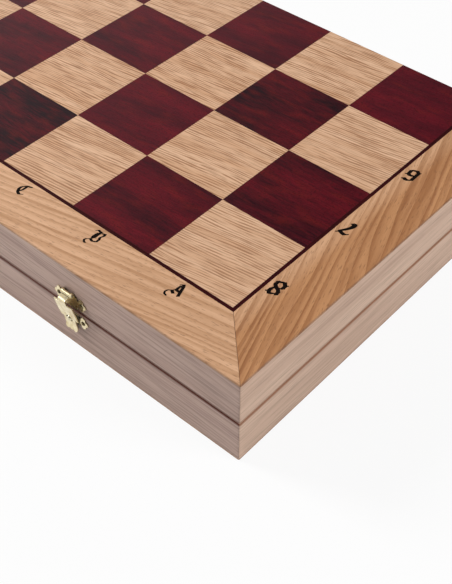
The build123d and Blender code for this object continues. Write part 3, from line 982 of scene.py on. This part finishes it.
# %% Turn the hinge screws and saw their slots
def hinge_screws(name, body, stands_for, upside_down):
    text = "0,-8.4 0.3,-7.8 0.86,-6.4! 0.86,-1.2! 1.66,-0.14! 1.6,-0.03 0.8,0 0,0"
    screw = smooth_outline(points_of(text), 3)
    chance = random.Random(7)
    screws = []
    for low, high in boxes_along_x(stands_for):
        mesh = bmesh.new()
        turned(mesh, Matrix(), screw, 24)
        mesh = carved(mesh, [saw((-2, -0.2, -0.5), (2, 0.2, 1))])
        head = low.z if upside_down else high.z
        place = Matrix.Translation(((low.x + high.x) / 2, (low.y + high.y) / 2, head))
        place = place @ spun("X", math.pi if upside_down else 0) @ spun("Z", chance.uniform(0, 3))
        mesh.transform(place)
        screws.append(mesh)
    finish_piece(name, joined(screws), dark_brass, body, [stands_for])


hinge_screws("lower_hinge_screws", "lower_case", "hinge_lower_screws", False)
hinge_screws("upper_hinge_screws", "upper_case", "hinge_upper_screws", True)
dress(bright_brass, "hinge_lower_leaves", "hinge_upper_leaves")
dress(pin_wire, "hinge_pins")

# %% [markdown]
# ## Rack, panels and felt
#
# Inside, the wood is plain: a thin base board and planed bars and stops that the men lie between. The
# upper half is lined with a sheet of short-piled felt, glued flat. Felt has no weave: its look is a
# mat of fibres, so two fine noises in different directions make it, and its cut edge wanders a little.

# %% Mix the plain wood inside
def plain_wood(name, pale, deep):
    """Planed wood with soft edges and grain along the case."""
    wood = Finish(name)
    where = wander(wood, wood.place, 4, 80)
    bands = wood.strands(where, 120, 7)
    lines = wood.strands(where, 40, 1.2)
    pores = wood.strands(where, 5, 0.4, 1.0)
    colour = wood.mix(wood.rise(bands, 0.35, 0.65), pale, deep)
    colour = wood.paint(colour, lines, 0.48, 0.68, 0.5, darker(deep, 0.62))
    colour = wood.paint(colour, pores, 0.6, 0.7, 0.4, darker(deep, 0.4))
    wood.bump(wood.sum("SUBTRACT", lines, pores), 0.12 * MM, 0.5 * MM)
    return wood.set(Base_Color=colour, Roughness=wood.line(lines, 0.2, 0.48), Specular_IOR_Level=0.3)


dress(plain_wood("panel wood", tint(206, 176, 136), tint(186, 150, 108)), "upper_panel", "lower_panel")
dress(plain_wood("rack board", tint(200, 168, 126), tint(178, 142, 100)), "rack_base")
dress(plain_wood("rack wood", tint(214, 182, 140), tint(196, 158, 114)), "rack_bars", "rack_stops")
print("three plain woods")

# %% [markdown]
# The felt is cut as a flat outline whose edge wanders by a fraction of a millimetre. Its face rises
# and falls a little, as glued cloth does, and thins out towards the edge. A cloth simulation could
# drape it, but on a flat panel there is nothing to drape.

# %% Cut the felt and lay it under the upper panel
def felt_finish():
    felt = Finish("burgundy felt")
    one_way = felt.strands(felt.place, 1.6, 0.3, 1.0)
    other_way = felt.strands(felt.turned(felt.place, 1.1), 1.6, 0.3, 1.0)
    fibres = felt.sum("MAXIMUM", one_way, other_way)
    cloud = felt.cloud((60, 60, 60), 3.0)
    colour = felt.mix(felt.rise(fibres, 0.45, 0.7), tint(86, 24, 34), tint(132, 48, 60))
    colour = felt.paint(colour, cloud, 0.4, 0.7, 0.25, tint(72, 18, 28))
    felt.bump(felt.line(cloud, 2.0, fibres), 0.25 * MM)
    return felt.set(
        Base_Color=colour, Roughness=0.95, Specular_IOR_Level=0.1, Sheen_Weight=0.4, Sheen_Roughness=0.5,
    )


def felt_sheet():
    low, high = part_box("upper_lining")
    chance = random.Random(3)
    reach = [(high[k] - low[k]) / 2 / MM for k in (0, 1)]
    middle = (low + high) / 2
    ends = [(-1, -1), (1, -1), (1, 1), (-1, 1)]
    outline = []
    for start, end in zip(ends, ends[1:] + ends[:1]):
        count = 142 if start[0] != end[0] else 68
        for i in range(count):
            inset = 1 - chance.uniform(0, 0.0012)
            spot = [start[k] + (end[k] - start[k]) * (i / count) for k in (0, 1)]
            outline.append(tuple(spot[k] * reach[k] * inset for k in (0, 1)))

    def face(corner):
        from_edge = min(reach[0] - abs(corner.x), reach[1] - abs(corner.y))
        wave = 0.06 * math.sin(corner.x / 23 + 1.3 * math.sin(corner.y / 31))
        wave += 0.05 * math.sin(corner.y / 17 + corner.x / 41)
        return low.z + (0.12 + wave + 0.4 * max(0.0, 1 - from_edge / 1.6)) * MM

    def at(height_of):
        return lambda corner: Vector((middle.x + corner.x * MM, middle.y + corner.y * MM, height_of(corner)))

    mesh = bmesh.new()
    two_layers(mesh, *flat_triangles([outline], [], 3.0), at(face), at(lambda corner: high.z))
    felt = finish_piece("felt_lining", mesh, felt_finish(), "upper_case", ["upper_lining"])


felt_sheet()

# %% [markdown]
# ## The men
#
# Thirty-two wooden men lie in the rack. On the real set each is cut on a lathe from foot to tip, and
# then worked by hand: slots in the rook's wall, a slanting cut in the bishop's mitre, notches round
# the queen's coronet. The king's cross and the knight's head are carved flat and glued on.
#
# Each kind is made once, standing, in the sizes of the measured one, and then copied to every place
# where the rack holds one. Sculpting would make each a little different, which is nice on a hero
# piece, but a lathe makes them all alike and so does this.

# %% The parts that the men's outlines share
TALL = {"king": 5.2, "queen": 4.954, "bishop": 4.671, "knight": 4.16, "rook": 3.566, "pawn": 3.467}


def ball(reach, height, tall, start):
    """Points round a ball's upper part, from an angle in degrees up to its top."""
    angles = [math.radians(start + (90 - start) * i / 6) for i in range(7)]
    return [(reach * math.cos(a), height + reach / tall * math.sin(a)) for a in angles]


def foot(rim, step, neck):
    """The base that all men share: an eased rim, a step and a curve up to the neck."""
    return [
        (0, 0), (0.95, 0), (0.95, 0), (1, 0.25 * rim), (1, rim), (1, rim), (0.95, rim + 0.3 * step),
        (0.82, rim + 0.6 * step), (0.82, rim + 0.6 * step), (0.82, rim + step), (0.82, rim + step),
        (0.64, rim + 2.6 * step), (0.48, (rim + neck) / 2),
    ]


def collar(low, high, reach, neck):
    """A sharp-edged ring between two necks."""
    middle, quarter = (low + high) / 2, 0.25 * (high - low)
    corner = (reach - 0.05, middle + quarter)
    lower = [(neck, low), (neck, low), (reach - 0.03, middle - quarter), (reach, middle)]
    return lower + [corner, corner, (neck + 0.02, high)]


print("a base has", len(foot(0.06, 0.04, 0.5)), "points, a ring", len(collar(0.5, 0.6, 0.6, 0.4)))

# %% Draw what the lathe cuts
def stem(base, waist, ring_at, rest):
    """A base, a waist, a ring and what stands on it, as shares of the base's radius and of the height."""
    return foot(*base) + points_of(waist) + collar(*ring_at) + points_of(rest)


OUTLINES = {
    "pawn": stem((0.065, 0.045, 0.56), "0.37,0.46", (0.565, 0.665, 0.6, 0.33), "0.36,0.7!")
    + ball(0.54, 0.844, TALL["pawn"], -40),
    "rook": stem((0.065, 0.045, 0.6), "0.55,0.5", (0.60, 0.69, 0.68, 0.54),
                 "0.6,0.71 0.74,0.77 0.77,0.81! 0.77,0.9! 0.54,0.9! 0.54,0.88! 0,0.88"),
    "knight": foot(0.06, 0.04, 0.3)[:11] + points_of("0.72,0.2 0.66,0.235 0.6,0.25! 0,0.26"),
    "bishop": stem((0.05, 0.035, 0.54), "0.38,0.42", (0.545, 0.64, 0.6, 0.34),
                   "0.37,0.66! 0.5,0.71 0.535,0.765 0.5,0.83 0.36,0.9 0.16,0.95 0.07,0.955!")
    + ball(0.12, 0.974, TALL["bishop"], -50),
    "queen": stem((0.045, 0.035, 0.55), "0.38,0.43", (0.56, 0.65, 0.6, 0.345),
                  "0.46,0.675 0.46,0.69! 0.39,0.71 0.41,0.77 0.52,0.86 0.65,0.93! 0.57,0.932! 0.48,0.905 "
                  "0.42,0.905! 0.36,0.935 0.22,0.965 0.07,0.972!")
    + ball(0.1, 0.979, TALL["queen"], -50),
    "king": stem((0.042, 0.032, 0.52), "0.4,0.41", (0.53, 0.62, 0.6, 0.37),
                 "0.48,0.64 0.48,0.655! 0.42,0.675 0.45,0.73 0.56,0.8 0.63,0.845! 0.56,0.855! 0.42,0.872 "
                 "0.2,0.892 0,0.897"),
}


def lathe_form(kind, reach):
    """The turned part of one kind, standing at the origin; reach is its base radius in millimetres."""
    tall = TALL[kind] * reach
    points = smooth_outline([(r * reach, h * tall) for r, h in OUTLINES[kind]], 4)
    mesh = bmesh.new()
    turned(mesh, Matrix(), points, 40)
    return mesh


print(len(OUTLINES), "outlines")

# %% [markdown]
# The knight's head is drawn from its side, anticlockwise from the foot of the chest, in shares of the
# base's radius and of the height. Both cheeks are that flat shape, swollen: thick in the middle and
# thin at the outline. Soft humps and pits, laid on by their distance, carve the mane, eye and mouth.
# Sculpting is the usual way, but here each of them stays a line that can be changed.

# %% Carve the knight's head
HEAD = points_of(
    "-0.6,0.2! 0.6,0.2! 0.6,0.27 0.56,0.34 0.44,0.42 0.29,0.5 0.2,0.57! 0.36,0.555 0.5,0.515 0.62,0.497 "
    "0.7,0.512 0.73,0.545! 0.8,0.538 0.86,0.575 0.87,0.63 0.81,0.69 0.66,0.755 0.5,0.81 0.3,0.86 0.12,0.9 "
    "-0.02,0.915! -0.1,0.96 -0.24,1! -0.33,0.94 -0.35,0.87 -0.43,0.79 -0.54,0.68 -0.62,0.56 -0.66,0.45 "
    "-0.65,0.34 -0.6,0.2"
)
MANE = slice(26, 37)


def edge_distance(x, z, chain):
    """How far a point is from a chain of points."""
    best = 1e9
    for (x0, z0), (x1, z1) in zip(chain, chain[1:]):
        long2 = (x1 - x0) ** 2 + (z1 - z0) ** 2 or 1e-9
        t = clamp(((x - x0) * (x1 - x0) + (z - z0) * (z1 - z0)) / long2)
        best = min(best, math.hypot(x - x0 - t * (x1 - x0), z - z0 - t * (z1 - z0)))
    return best


def pit(x, z, spot, size):
    """1 at the spot, and a soft fall to nothing over about the size."""
    return math.exp(-(((x - spot[0]) ** 2 + (z - spot[1]) ** 2) / size ** 2))


def knight_head(reach):
    """A flat head given two rounded cheeks, then a mane, an eye, a nostril and a mouth."""
    tall = TALL["knight"] * reach

    def sized(points):
        return [(x * reach, z * tall) for x, z in points]

    outline = [tuple(p) for p in smooth_outline(sized(HEAD), 4)][:-1]
    mane = sized(HEAD[MANE])
    eye, nostril, jaw, ear = sized([(0.3, 0.775), (0.74, 0.62), (0.2, 0.655), (-0.2, 0.94)])
    mouth = sized([(0.73, 0.548), (0.56, 0.585)])

    def cheek(x, z):
        up = z / tall
        full = reach * (0.42 - 0.06 * clamp((up - 0.3) / 0.3) - 0.12 * clamp(x / reach / 0.8) ** 2)
        near = clamp(edge_distance(x, z, outline + outline[:1]) / (0.34 * reach))
        depth = full * (0.42 + 0.58 * math.sqrt(1 - (1 - near) ** 2)) - 0.5
        back = edge_distance(x, z, mane)
        if back < 0.36 * reach and up < 0.93:
            comb = abs(math.sin(math.pi * (z - 0.9 * x) / 3.4))
            depth += 0.45 * (comb - 0.35) * clamp((0.36 * reach - back) / 0.8) * clamp(back / 0.5)
        depth -= 0.5 * hump(back - 0.38 * reach, 0.45) * (up < 0.9)
        depth += 0.55 * pit(x, z, jaw, 4.2) + 0.8 * pit(x, z, eye, 1.1) - 0.5 * pit(x, z, eye, 2.0)
        depth -= 0.7 * pit(x, z, nostril, 0.8) + 0.6 * hump(edge_distance(x, z, mouth), 0.4)
        depth -= 0.8 * pit(x, z, ear, 1.0)
        return min(depth, 0.42 * reach)

    corners, triangles = flat_triangles([outline], [], 0.75)
    depths = {tuple(corner): cheek(round(corner.x, 5), round(corner.y, 5)) for corner in corners}

    def side(sign):
        return lambda corner: Vector((corner.x, sign * depths[tuple(corner)], corner.y)) * MM

    mesh = bmesh.new()
    two_layers(mesh, corners, triangles, side(-1), side(1))
    return mesh


print("the head has", len(HEAD), "corners")

# %% [markdown]
# What the lathe can't do is done afterwards, as in a workshop: a saw cuts the rook's slots and the
# bishop's slanting cut, the rim of the queen's coronet is pushed down eight times, and the king's
# cross is a flat outline given a thickness.

# %% Make one man of each kind
def rook(reach):
    tall, sides = TALL["rook"] * reach, 40
    wall = smooth_outline(points_of("0.54,0.86 0.77,0.86! 0.77,0.985 0.745,1! 0.54,1! 0.54,0.86"), 3)
    crown = bmesh.new()
    rings = [ring(crown, Matrix(), r * reach, h * tall, round_steps(sides)) for r, h in wall[:-1]]
    join_rings(crown, rings + rings[:1])
    slot, floor, above = 0.14 * reach, 0.905 * tall, 1.2 * tall
    cutters = [saw((-x, -y, floor), (x, y, above)) for x, y in ((reach, slot), (slot, reach))]
    return joined([lathe_form("rook", reach), carved(crown, cutters)])


def bishop(reach):
    place = moved(0.42 * reach, 0, 0.83 * TALL["bishop"] * reach) @ spun("Y", math.radians(55))
    blade = Vector((0.06, 1, 0.35)) * reach
    return carved(lathe_form("bishop", reach), [saw(-blade, blade, place)])


def queen(reach):
    tall = TALL["queen"] * reach
    mesh = lathe_form("queen", reach)
    for point in mesh.verts:
        across = math.hypot(point.co.x, point.co.y) / MM
        if across > 0.55 * reach and point.co.z > 0.9 * tall * MM:
            angle = math.atan2(point.co.y, point.co.x)
            point.co.z -= 0.022 * tall * MM * (0.5 + 0.5 * math.cos(8 * angle)) ** 2
    return mesh


def king(reach):
    tall, thin = TALL["king"] * reach, 0.12 * reach
    right = points_of("0.14,0.885 0.07,0.942 0.29,0.934 0.29,0.975 0.07,0.966 0.13,1")
    outline = [(x * reach, z * tall) for x, z in right + [(-x, z) for x, z in right[::-1]]]

    def side(y):
        return lambda corner: Vector((corner.x, y, corner.y)) * MM

    cross = bmesh.new()
    two_layers(cross, *flat_triangles([outline], [], 0.8), side(-thin), side(thin))
    return joined([lathe_form("king", reach), cross])


MAKERS = {
    "king": king, "queen": queen, "bishop": bishop, "rook": rook,
    "knight": lambda reach: joined([lathe_form("knight", reach), knight_head(reach)]),
    "pawn": lambda reach: lathe_form("pawn", reach),
}
print(len(MAKERS), "kinds of men can be made")

# %% [markdown]
# The men are of one close-grained wood, pale for one side and stained burgundy for the other, under a
# thin clear lacquer. Handling has worn the edges a little paler, and the mesh's own sharpness tells
# where they are. A picture of wood would smear over the curves, so the grain is laid out in space, as
# if each man were cut from a block.

# %% Mix the men's wood
def men_wood(name, pale, deep, line):
    """Close-grained wood under lacquer, its grain along the man, with paler worn edges."""
    wood = Finish(name)
    bands = wood.strands(wood.place, 50, 4)
    lines = wood.strands(wood.place, 30, 0.9)
    flecks = wood.strands(wood.place, 4, 0.4, 1.0)
    colour = wood.mix(wood.rise(bands, 0.35, 0.65), pale, deep)
    colour = wood.paint(colour, lines, 0.5, 0.68, 0.5, line)
    colour = wood.paint(colour, flecks, 0.6, 0.7, 0.35, line)
    wear = wood.node("ShaderNodeNewGeometry").outputs["Pointiness"]
    colour = wood.paint(colour, wear, 0.52, 0.58, 0.3, pale)
    wood.bump(wood.line(flecks, -0.5, lines), 0.04 * MM)
    return wood.set(
        Base_Color=colour, Roughness=wood.line(lines, 0.12, 0.22), Specular_IOR_Level=0.45,
        Coat_Weight=0.35, Coat_Roughness=0.12,
    )


light_wood = men_wood("pale men wood", tint(226, 190, 142), tint(208, 166, 116), tint(168, 122, 78))
dark_wood = men_wood("burgundy men wood", tint(104, 32, 26), tint(76, 20, 20), tint(40, 10, 12))
print("two woods")

# %% [markdown]
# A man that lies down touches the rack with the rim of its base and with its widest part higher up, so
# its axis slopes. The slope follows from those two radii. Which way each one's base points is read
# from the measured piece. Dropping the men in a physics run would look as natural, but they would come
# to rest a little differently after every change.

# %% Copy the men to their places in the rack
RIMS = {
    "pawn": (0.08, 0.62, 0.635),
    "rook": (0.08, 0.78, 1.0),
    "knight": (0.07, 0.42, 1.0),
    "bishop": (0.06, 0.54, 0.76),
    "queen": (0.06, 0.66, 0.93),
    "king": (0.055, 0.64, 0.84),
}


def lay(kind, reach, low, high, turned_round):
    """The turn and shift that lay a standing man on its rim and its head inside its box."""
    rim, out, up = RIMS[kind]
    tall = TALL[kind] * reach
    drop = math.atan2((1 - out) * reach, (up - rim) * tall)
    inward = reach * math.sin(drop) * MM
    rise = (reach * math.cos(drop) + rim * tall * math.sin(drop)) * MM
    x = high.x - inward if turned_round else low.x + inward
    place = Matrix.Translation((x, (low.y + high.y) / 2, low.z + rise))
    half_turn = spun("Z", math.pi if turned_round else 0)
    return place @ half_turn @ spun("Y", QUARTER + drop) @ spun("Z", QUARTER)


def base_is_left(name, low, high):
    """Whether a lying man's base, where the measured piece is highest, points toward -X."""
    highest = max(within(spots_of(name), low.x, high.x), key=lambda p: p.z)
    return highest.x < (low.x + high.x) / 2


def set_out(kind, plural, colour, material):
    """All the men of one kind and colour, as one piece in the rack."""
    stands_for = f"{colour}_{plural}"
    places = boxes_along_x(stands_for)
    reach = (places[0][1].y - places[0][0].y) / 2 / MM
    model = MAKERS[kind](reach)
    bmesh.ops.recalc_face_normals(model, faces=model.faces)
    data = as_data(model)
    mesh = bmesh.new()
    for low, high in places:
        copy = data.copy()
        copy.transform(lay(kind, reach, low, high, not base_is_left(stands_for, low, high)))
        mesh.from_mesh(copy)
        bpy.data.meshes.remove(copy)
    bpy.data.meshes.remove(data)
    finish_piece(f"turned_{stands_for}", mesh, material, "lower_case", [stands_for], 40)


for colour, material in (("light", light_wood), ("dark", dark_wood)):
    for kind in MAKERS:
        set_out(kind, kind if kind in ("king", "queen") else kind + "s", colour, material)

# %% [markdown]
# ## Printed letters and numbers
#
# The frame names the files A to H and the ranks 1 to 8 in black blackletter, printed on the veneer.
# Such letters come from a broad nib held at 45 degrees: a stroke down to the right is thick, and one
# up to the right is a hairline. So each character here is written as the nib's path, in
# millimetres, and the nib makes the thick and thin by itself. A bar stands between two strokes, and a
# third number at a point is the share of the nib that still touches there, for thin curls. Each nib
# is given by its width and its edge, and the numbers have the wider one. A font would give someone
# else's drawing and far more points.

# %% Write each character as the path of a nib
LETTER_NIB, NUMBER_NIB = (1.45, 0.36), (1.85, 0.55)
MIDDLE = 8
PATHS = {
    "A": "6.7,13 7.6,13.7 8.3,12.7 10.2,6.9 | 7.3,12.6 7,10.8 7.1,9.6 | 7.1,9.6,0.8 6,8.2,0.7 4.4,7,0.6 "
         "4,5.6,0.6 4.6,4.5,0.6 6,4.1,0.5 | 6.8,9.3 9,9.2 | 6,7.9 7.4,6.9",
    "B": "3.4,12.8,0.6 4.2,13.6,0.7 5.4,13.3,0.8 6.6,13.3,0.8 | 6.1,13 6.1,8.6 5.4,7.4,0.8 | 5.6,12.4 "
         "5.3,11.2 5.2,9.6 5.4,8.4 | 7.2,13.1,0.7 8.5,13.5,0.8 8.8,12.2,0.8 8.1,10.6,0.8 | 8.1,10.5,0.8 "
         "8.8,9.2,0.8 8.8,7.4,0.8 7,6.6,0.8 5.6,7.1,0.8 | 5.4,7.5,0.9 3.9,6,0.7 3.6,5,0.7 4.4,4.1,0.7 "
         "5.4,3.9,0.6",
    "C": "8.4,13.3,0.7 7.4,13 5.6,12.5 4.3,10.8 4.2,9 5.2,7.2 6.8,6.3 7.8,6.6,0.7 8.7,7.3,0.4 | 4.9,11.2 "
         "5.5,12.1 6.2,12.2 6.2,9.4,0.9 5.7,8,0.8",
    "D": "3.4,12.6 5,13.6 7.4,12.8 9,10.8 8.8,8.4 7,6.4 4.6,6 3.4,6.8 | 4.6,12.6 4.8,7 | 6.4,12.2 6.4,8",
    "E": "8.6,13.2 7,13 5,12.4 3.8,10.6 3.8,8.6 5,6.6 6.8,6 8.4,7.2 | 6.2,12.4 6,8 | 6,9.8 8,10.1",
    "F": "3.4,12.2 4.6,13.5 6.6,12.8 8.8,13.6 | 5.8,12.8 5.8,7.4 4.6,5.6 3.2,6 | 4.4,9.9 8,10.2 | "
         "7.4,12.6 7.2,10.6",
    "G": "8.6,13.2 7,13 5,12.4 3.8,10.6 3.8,8.6 5,6.6 6.8,6 8.8,7.2 8.9,9.8 | 6,12.2 5.9,8 | 6.8,9.9 "
         "9.6,9.7",
    "H": "3.4,12.2 4.6,13.5 6.4,13.2 | 4.9,13 4.9,7.4 3.6,6.2 | 5,9.4 7.2,10.7 8.8,9.4 8.8,7 7.4,5.2 7,4.2",
    "1": "6.4,11.8 8.3,13.2 8.3,5.2 9.4,4.4 | 6.4,4.6 8.4,4.4 10.2,4.9",
    "2": "6.8,11.6 8.3,13.2 10.4,12.2 10.4,10.2 8.2,6.8 6.9,4.9 | 6.9,4.9 8.8,5.3 10.6,4.2 11.6,5.2",
    "3": "6.8,12 8.6,13.4 10.6,12.2 10,10.2 8.6,9.3 | 8.6,9.3 10.8,8 10.8,5.6 8.8,4.2 6.9,5.2",
    "4": "9,13.6 6.6,8.4 7.2,7.2 12,7.6 | 10,10.4 10,4.8 11,4",
    "5": "11.6,13.6 10,12.8 7.8,13.2 7.6,9.8 9.6,10.2 11,8.6 10.8,5.6 8.8,4.2 6.9,5.2",
    "6": "7.1,11.2 8.3,12.3 9.6,12.6 10.6,12 11.2,12.3 | 7.2,11.5 7.2,5 8.4,3.8 9.4,4.2 | 7.2,5.2 6.9,4.6 "
         "| 8.2,8.2 9.9,8.6 11,7.9 11.1,4.9 8.6,3.8 | 11,8 11.6,8.3",
    "7": "7.3,12.2 8,13.1 9.4,12.9 10.9,12.4 12,13.3 | 11.2,12.3 9.3,9.7 8.1,7.4 7.8,5.6 8.2,4.5 | "
         "11.4,12 9.7,9.4 8.5,7 8.4,5.4 8.2,4.5 9.5,4.8",
    "8": "7.2,12.8 7.4,12.4 7.5,11 8.6,9.8 10.2,9.2 11.4,8 11.4,6.1 11.6,5.8 | 8.6,13.1 10.2,13.9 "
         "11.2,12.9 11.2,11 10.5,9.6 | 11.2,12.8 11.9,13.1 | 9,9.4 7.4,8.1 7.4,6.4 8.8,4.8 11.2,6 | "
         "7.4,6.2 6.9,5.8 | 7.3,8 7.2,8.3",
}
print(len(PATHS), "characters")

# %% Turn nib paths into one thin layer of ink
def nib_corners(point, nib):
    """The nib's four corners at a point, its long side up to the right."""
    share = (point[2] if len(point) > 2 else 1) / 2 / math.sqrt(2)
    reach, edge = nib[0] * share, nib[1] / 2 / math.sqrt(2)
    corners = [(reach - edge, reach + edge), (reach + edge, reach - edge)]
    corners += [(-x, -y) for x, y in corners]
    return [Vector((point[0] + x, point[1] + y)) for x, y in corners]


def hull(points):
    """The convex outline of a few points, anticlockwise."""
    points = [Vector(point) for point in sorted((p.x, p.y) for p in points)]
    outline = []
    for run in (points, points[::-1]):
        chain = []
        for p in run:
            while len(chain) > 1 and (chain[-1] - chain[-2]).cross(p - chain[-2]) <= 1e-9:
                chain.pop()
            chain.append(p)
        outline += chain[:-1]
    return outline


def ink_triangles(character):
    """The area that the nib covers, as triangles in the plane."""
    corners, faces = [], []
    nib = NUMBER_NIB if character.isdigit() else LETTER_NIB
    for stroke in PATHS[character].split("|"):
        path = points_of(stroke)
        for start, end in zip(path, path[1:]):
            outline = hull(nib_corners(start, nib) + nib_corners(end, nib))
            faces.append(list(range(len(corners), len(corners) + len(outline))))
            corners += outline
    corners, _, triangles, _, _, sources = delaunay_2d_cdt(corners, [], faces, 1, 1e-5)
    return corners, [triangle for triangle, source in zip(triangles, sources) if source]


print("A is", len(ink_triangles("A")[1]), "triangles")

# %% Print the characters on both playing faces
INK = 0.03 * MM


def print_ink(name, body, written):
    """One thin layer of ink for several characters, each at its place with its own right and up."""
    mesh = bmesh.new()
    for character, centre, right, up in written:
        centre, right, up = Vector(centre), Vector(right), Vector(up)

        def level(height):
            origin = centre + right.cross(up) * height
            return lambda c: origin + right * (c.x - MIDDLE) * MM + up * (c.y - MIDDLE) * MM

        two_layers(mesh, *ink_triangles(character), level(INK), level(-INK))
    bmesh.ops.recalc_face_normals(mesh, faces=mesh.faces)
    piece = as_object(name, as_data(mesh, name))
    piece.data.materials.append(ink)
    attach(piece, body)
    print(name, len(piece.data.polygons), "triangles")


def printer_ink():
    black = Finish("printing ink")
    colour = black.mix(black.cloud((900, 900, 900)), tint(10, 6, 5), tint(26, 19, 16))
    return black.set(Base_Color=colour, Roughness=0.55, Specular_IOR_Level=0.03)


ink = printer_ink()
RIGHT, LEFT = (1, 0, 0), (-1, 0, 0)
AWAY, NEAR = (0, 1, 0), (0, -1, 0)
letter_row = front + 20.5 * MM
number_column = board_high.x + 8 * MM
for half, level in (("upper", top), ("lower", 0.0)):
    written = []
    above = half == "upper"
    for count, letter in enumerate("ABCDEFGH"):
        centre = board_high.x - (count + 0.5) * square + (0.4 if above else -0.4) * MM
        written.append((letter, (centre, letter_row, level), RIGHT if above else LEFT, AWAY))
    for count, number in enumerate("8765" if above else "1234"):
        y = board_low.y + (0.4615 + 1.015 * count) * square
        near_a = (LEFT, NEAR) if above else (LEFT, AWAY)
        near_h = (RIGHT, AWAY) if above else (RIGHT, NEAR)
        written.append((number, (number_column, y, level), *near_a))
        written.append((number, (-number_column, y, level), *near_h))
    print_ink(f"printed_characters_{half}", f"{half}_case", written)

# %% [markdown]
# ## Table and light
#
# The case stands on a white table that runs out of the picture. Two large soft lamps light it, one
# on each side, and the room gives the rest. Seen straight on or in a mirror, the table is nearly plain
# white; to the light it is ordinary white paint, so the case still throws a faint shadow.

# %% Build the white table
def table_paint():
    paint = Finish("white table")
    rays = paint.node("ShaderNodeLightPath").outputs
    seen = paint.sum("MAXIMUM", rays["Is Glossy Ray"], rays["Is Transmission Ray"])
    seen = paint.sum("MAXIMUM", rays["Is Camera Ray"], seen)
    paint.set(Base_Color=tint(240, 240, 240), Roughness=0.8, Specular_IOR_Level=0.0)
    glow = paint.node("ShaderNodeEmission").outputs[0]
    blend = paint.node("ShaderNodeMixShader", [paint.times(seen, 0.9), paint.shader.outputs[0], glow])
    paint.feed(paint.tree.nodes["Material Output"].inputs["Surface"], blend.outputs[0])
    return paint.material


bpy.ops.mesh.primitive_plane_add(size=30, location=(0, 0, -0.2 * MM))
table = bpy.context.object
table.name = "table"
table.data.materials.append(table_paint())
print("the table is", round(table.dimensions.x), "m wide")

# %% [markdown]
# The room is a plain white one for the camera, so the picture's ground is white. The matt surfaces get
# a fifth of that light from it. Metal and lacquer need something to mirror, so for them the room is
# dark with a pale band near the floor and a bright wall at the left. A picture of a studio would do
# the same, but two slopes of brightness are enough.

# %% Paint the room
world = bpy.data.worlds.new("room")
bpy.context.scene.world = world
world.use_nodes = True
room = Sheet(world.node_tree)
rays = room.node("ShaderNodeLightPath").outputs
way = room.split(room.node("ShaderNodeTexCoord").outputs["Generated"])
low_band = room.rise(way["Z"], 0.15, 0.5, 0.45, 0.04)
left_wall = room.rise(way["X"], -0.72, -0.44, 0.9, 0.0)
mirrors = room.sum("MAXIMUM", rays["Is Glossy Ray"], rays["Is Transmission Ray"])


def either(share, first, second):
    """A plain number between two others."""
    made = room.node("ShaderNodeMix")
    for number, value in enumerate((share, None, first, second)):
        if value is not None:
            room.feed(made.inputs[number], value)
    return made.outputs[0]


background = world.node_tree.nodes["Background"]
background.inputs["Color"].default_value = (1, 1, 1, 1)
strength = either(mirrors, 0.20, room.sum("ADD", low_band, left_wall))
strength = either(rays["Is Camera Ray"], strength, 1.0)
room.feed(background.inputs["Strength"], strength)
print("the room is white for the camera and 0.2 of that for matt surfaces")

# %% [markdown]
# The lamps are square softboxes: the left one is stronger, as the brighter side of the case in the
# picture tells, and the right one fills the shade of the right side. Smaller lamps would be
# simpler, but they throw hard shadows, and the picture has none.

# %% Hang the lamps
def soft_lamp(name, place, size, power):
    """A square softbox that faces the case."""
    data = bpy.data.lights.new(name, "AREA")
    data.shape = "SQUARE"
    data.size = size
    data.energy = power
    lamp = bpy.data.objects.new(name, data)
    lamp.location = place
    lamp.rotation_euler = Vector(place).to_track_quat("Z", "Y").to_euler()
    bpy.context.scene.collection.objects.link(lamp)


soft_lamp("left softbox", (-1.2, -0.5, 0.95), 0.5, 24.5)
soft_lamp("right softbox", (1.3, 0.35, 0.9), 0.6, 11.5)
print("two lamps")
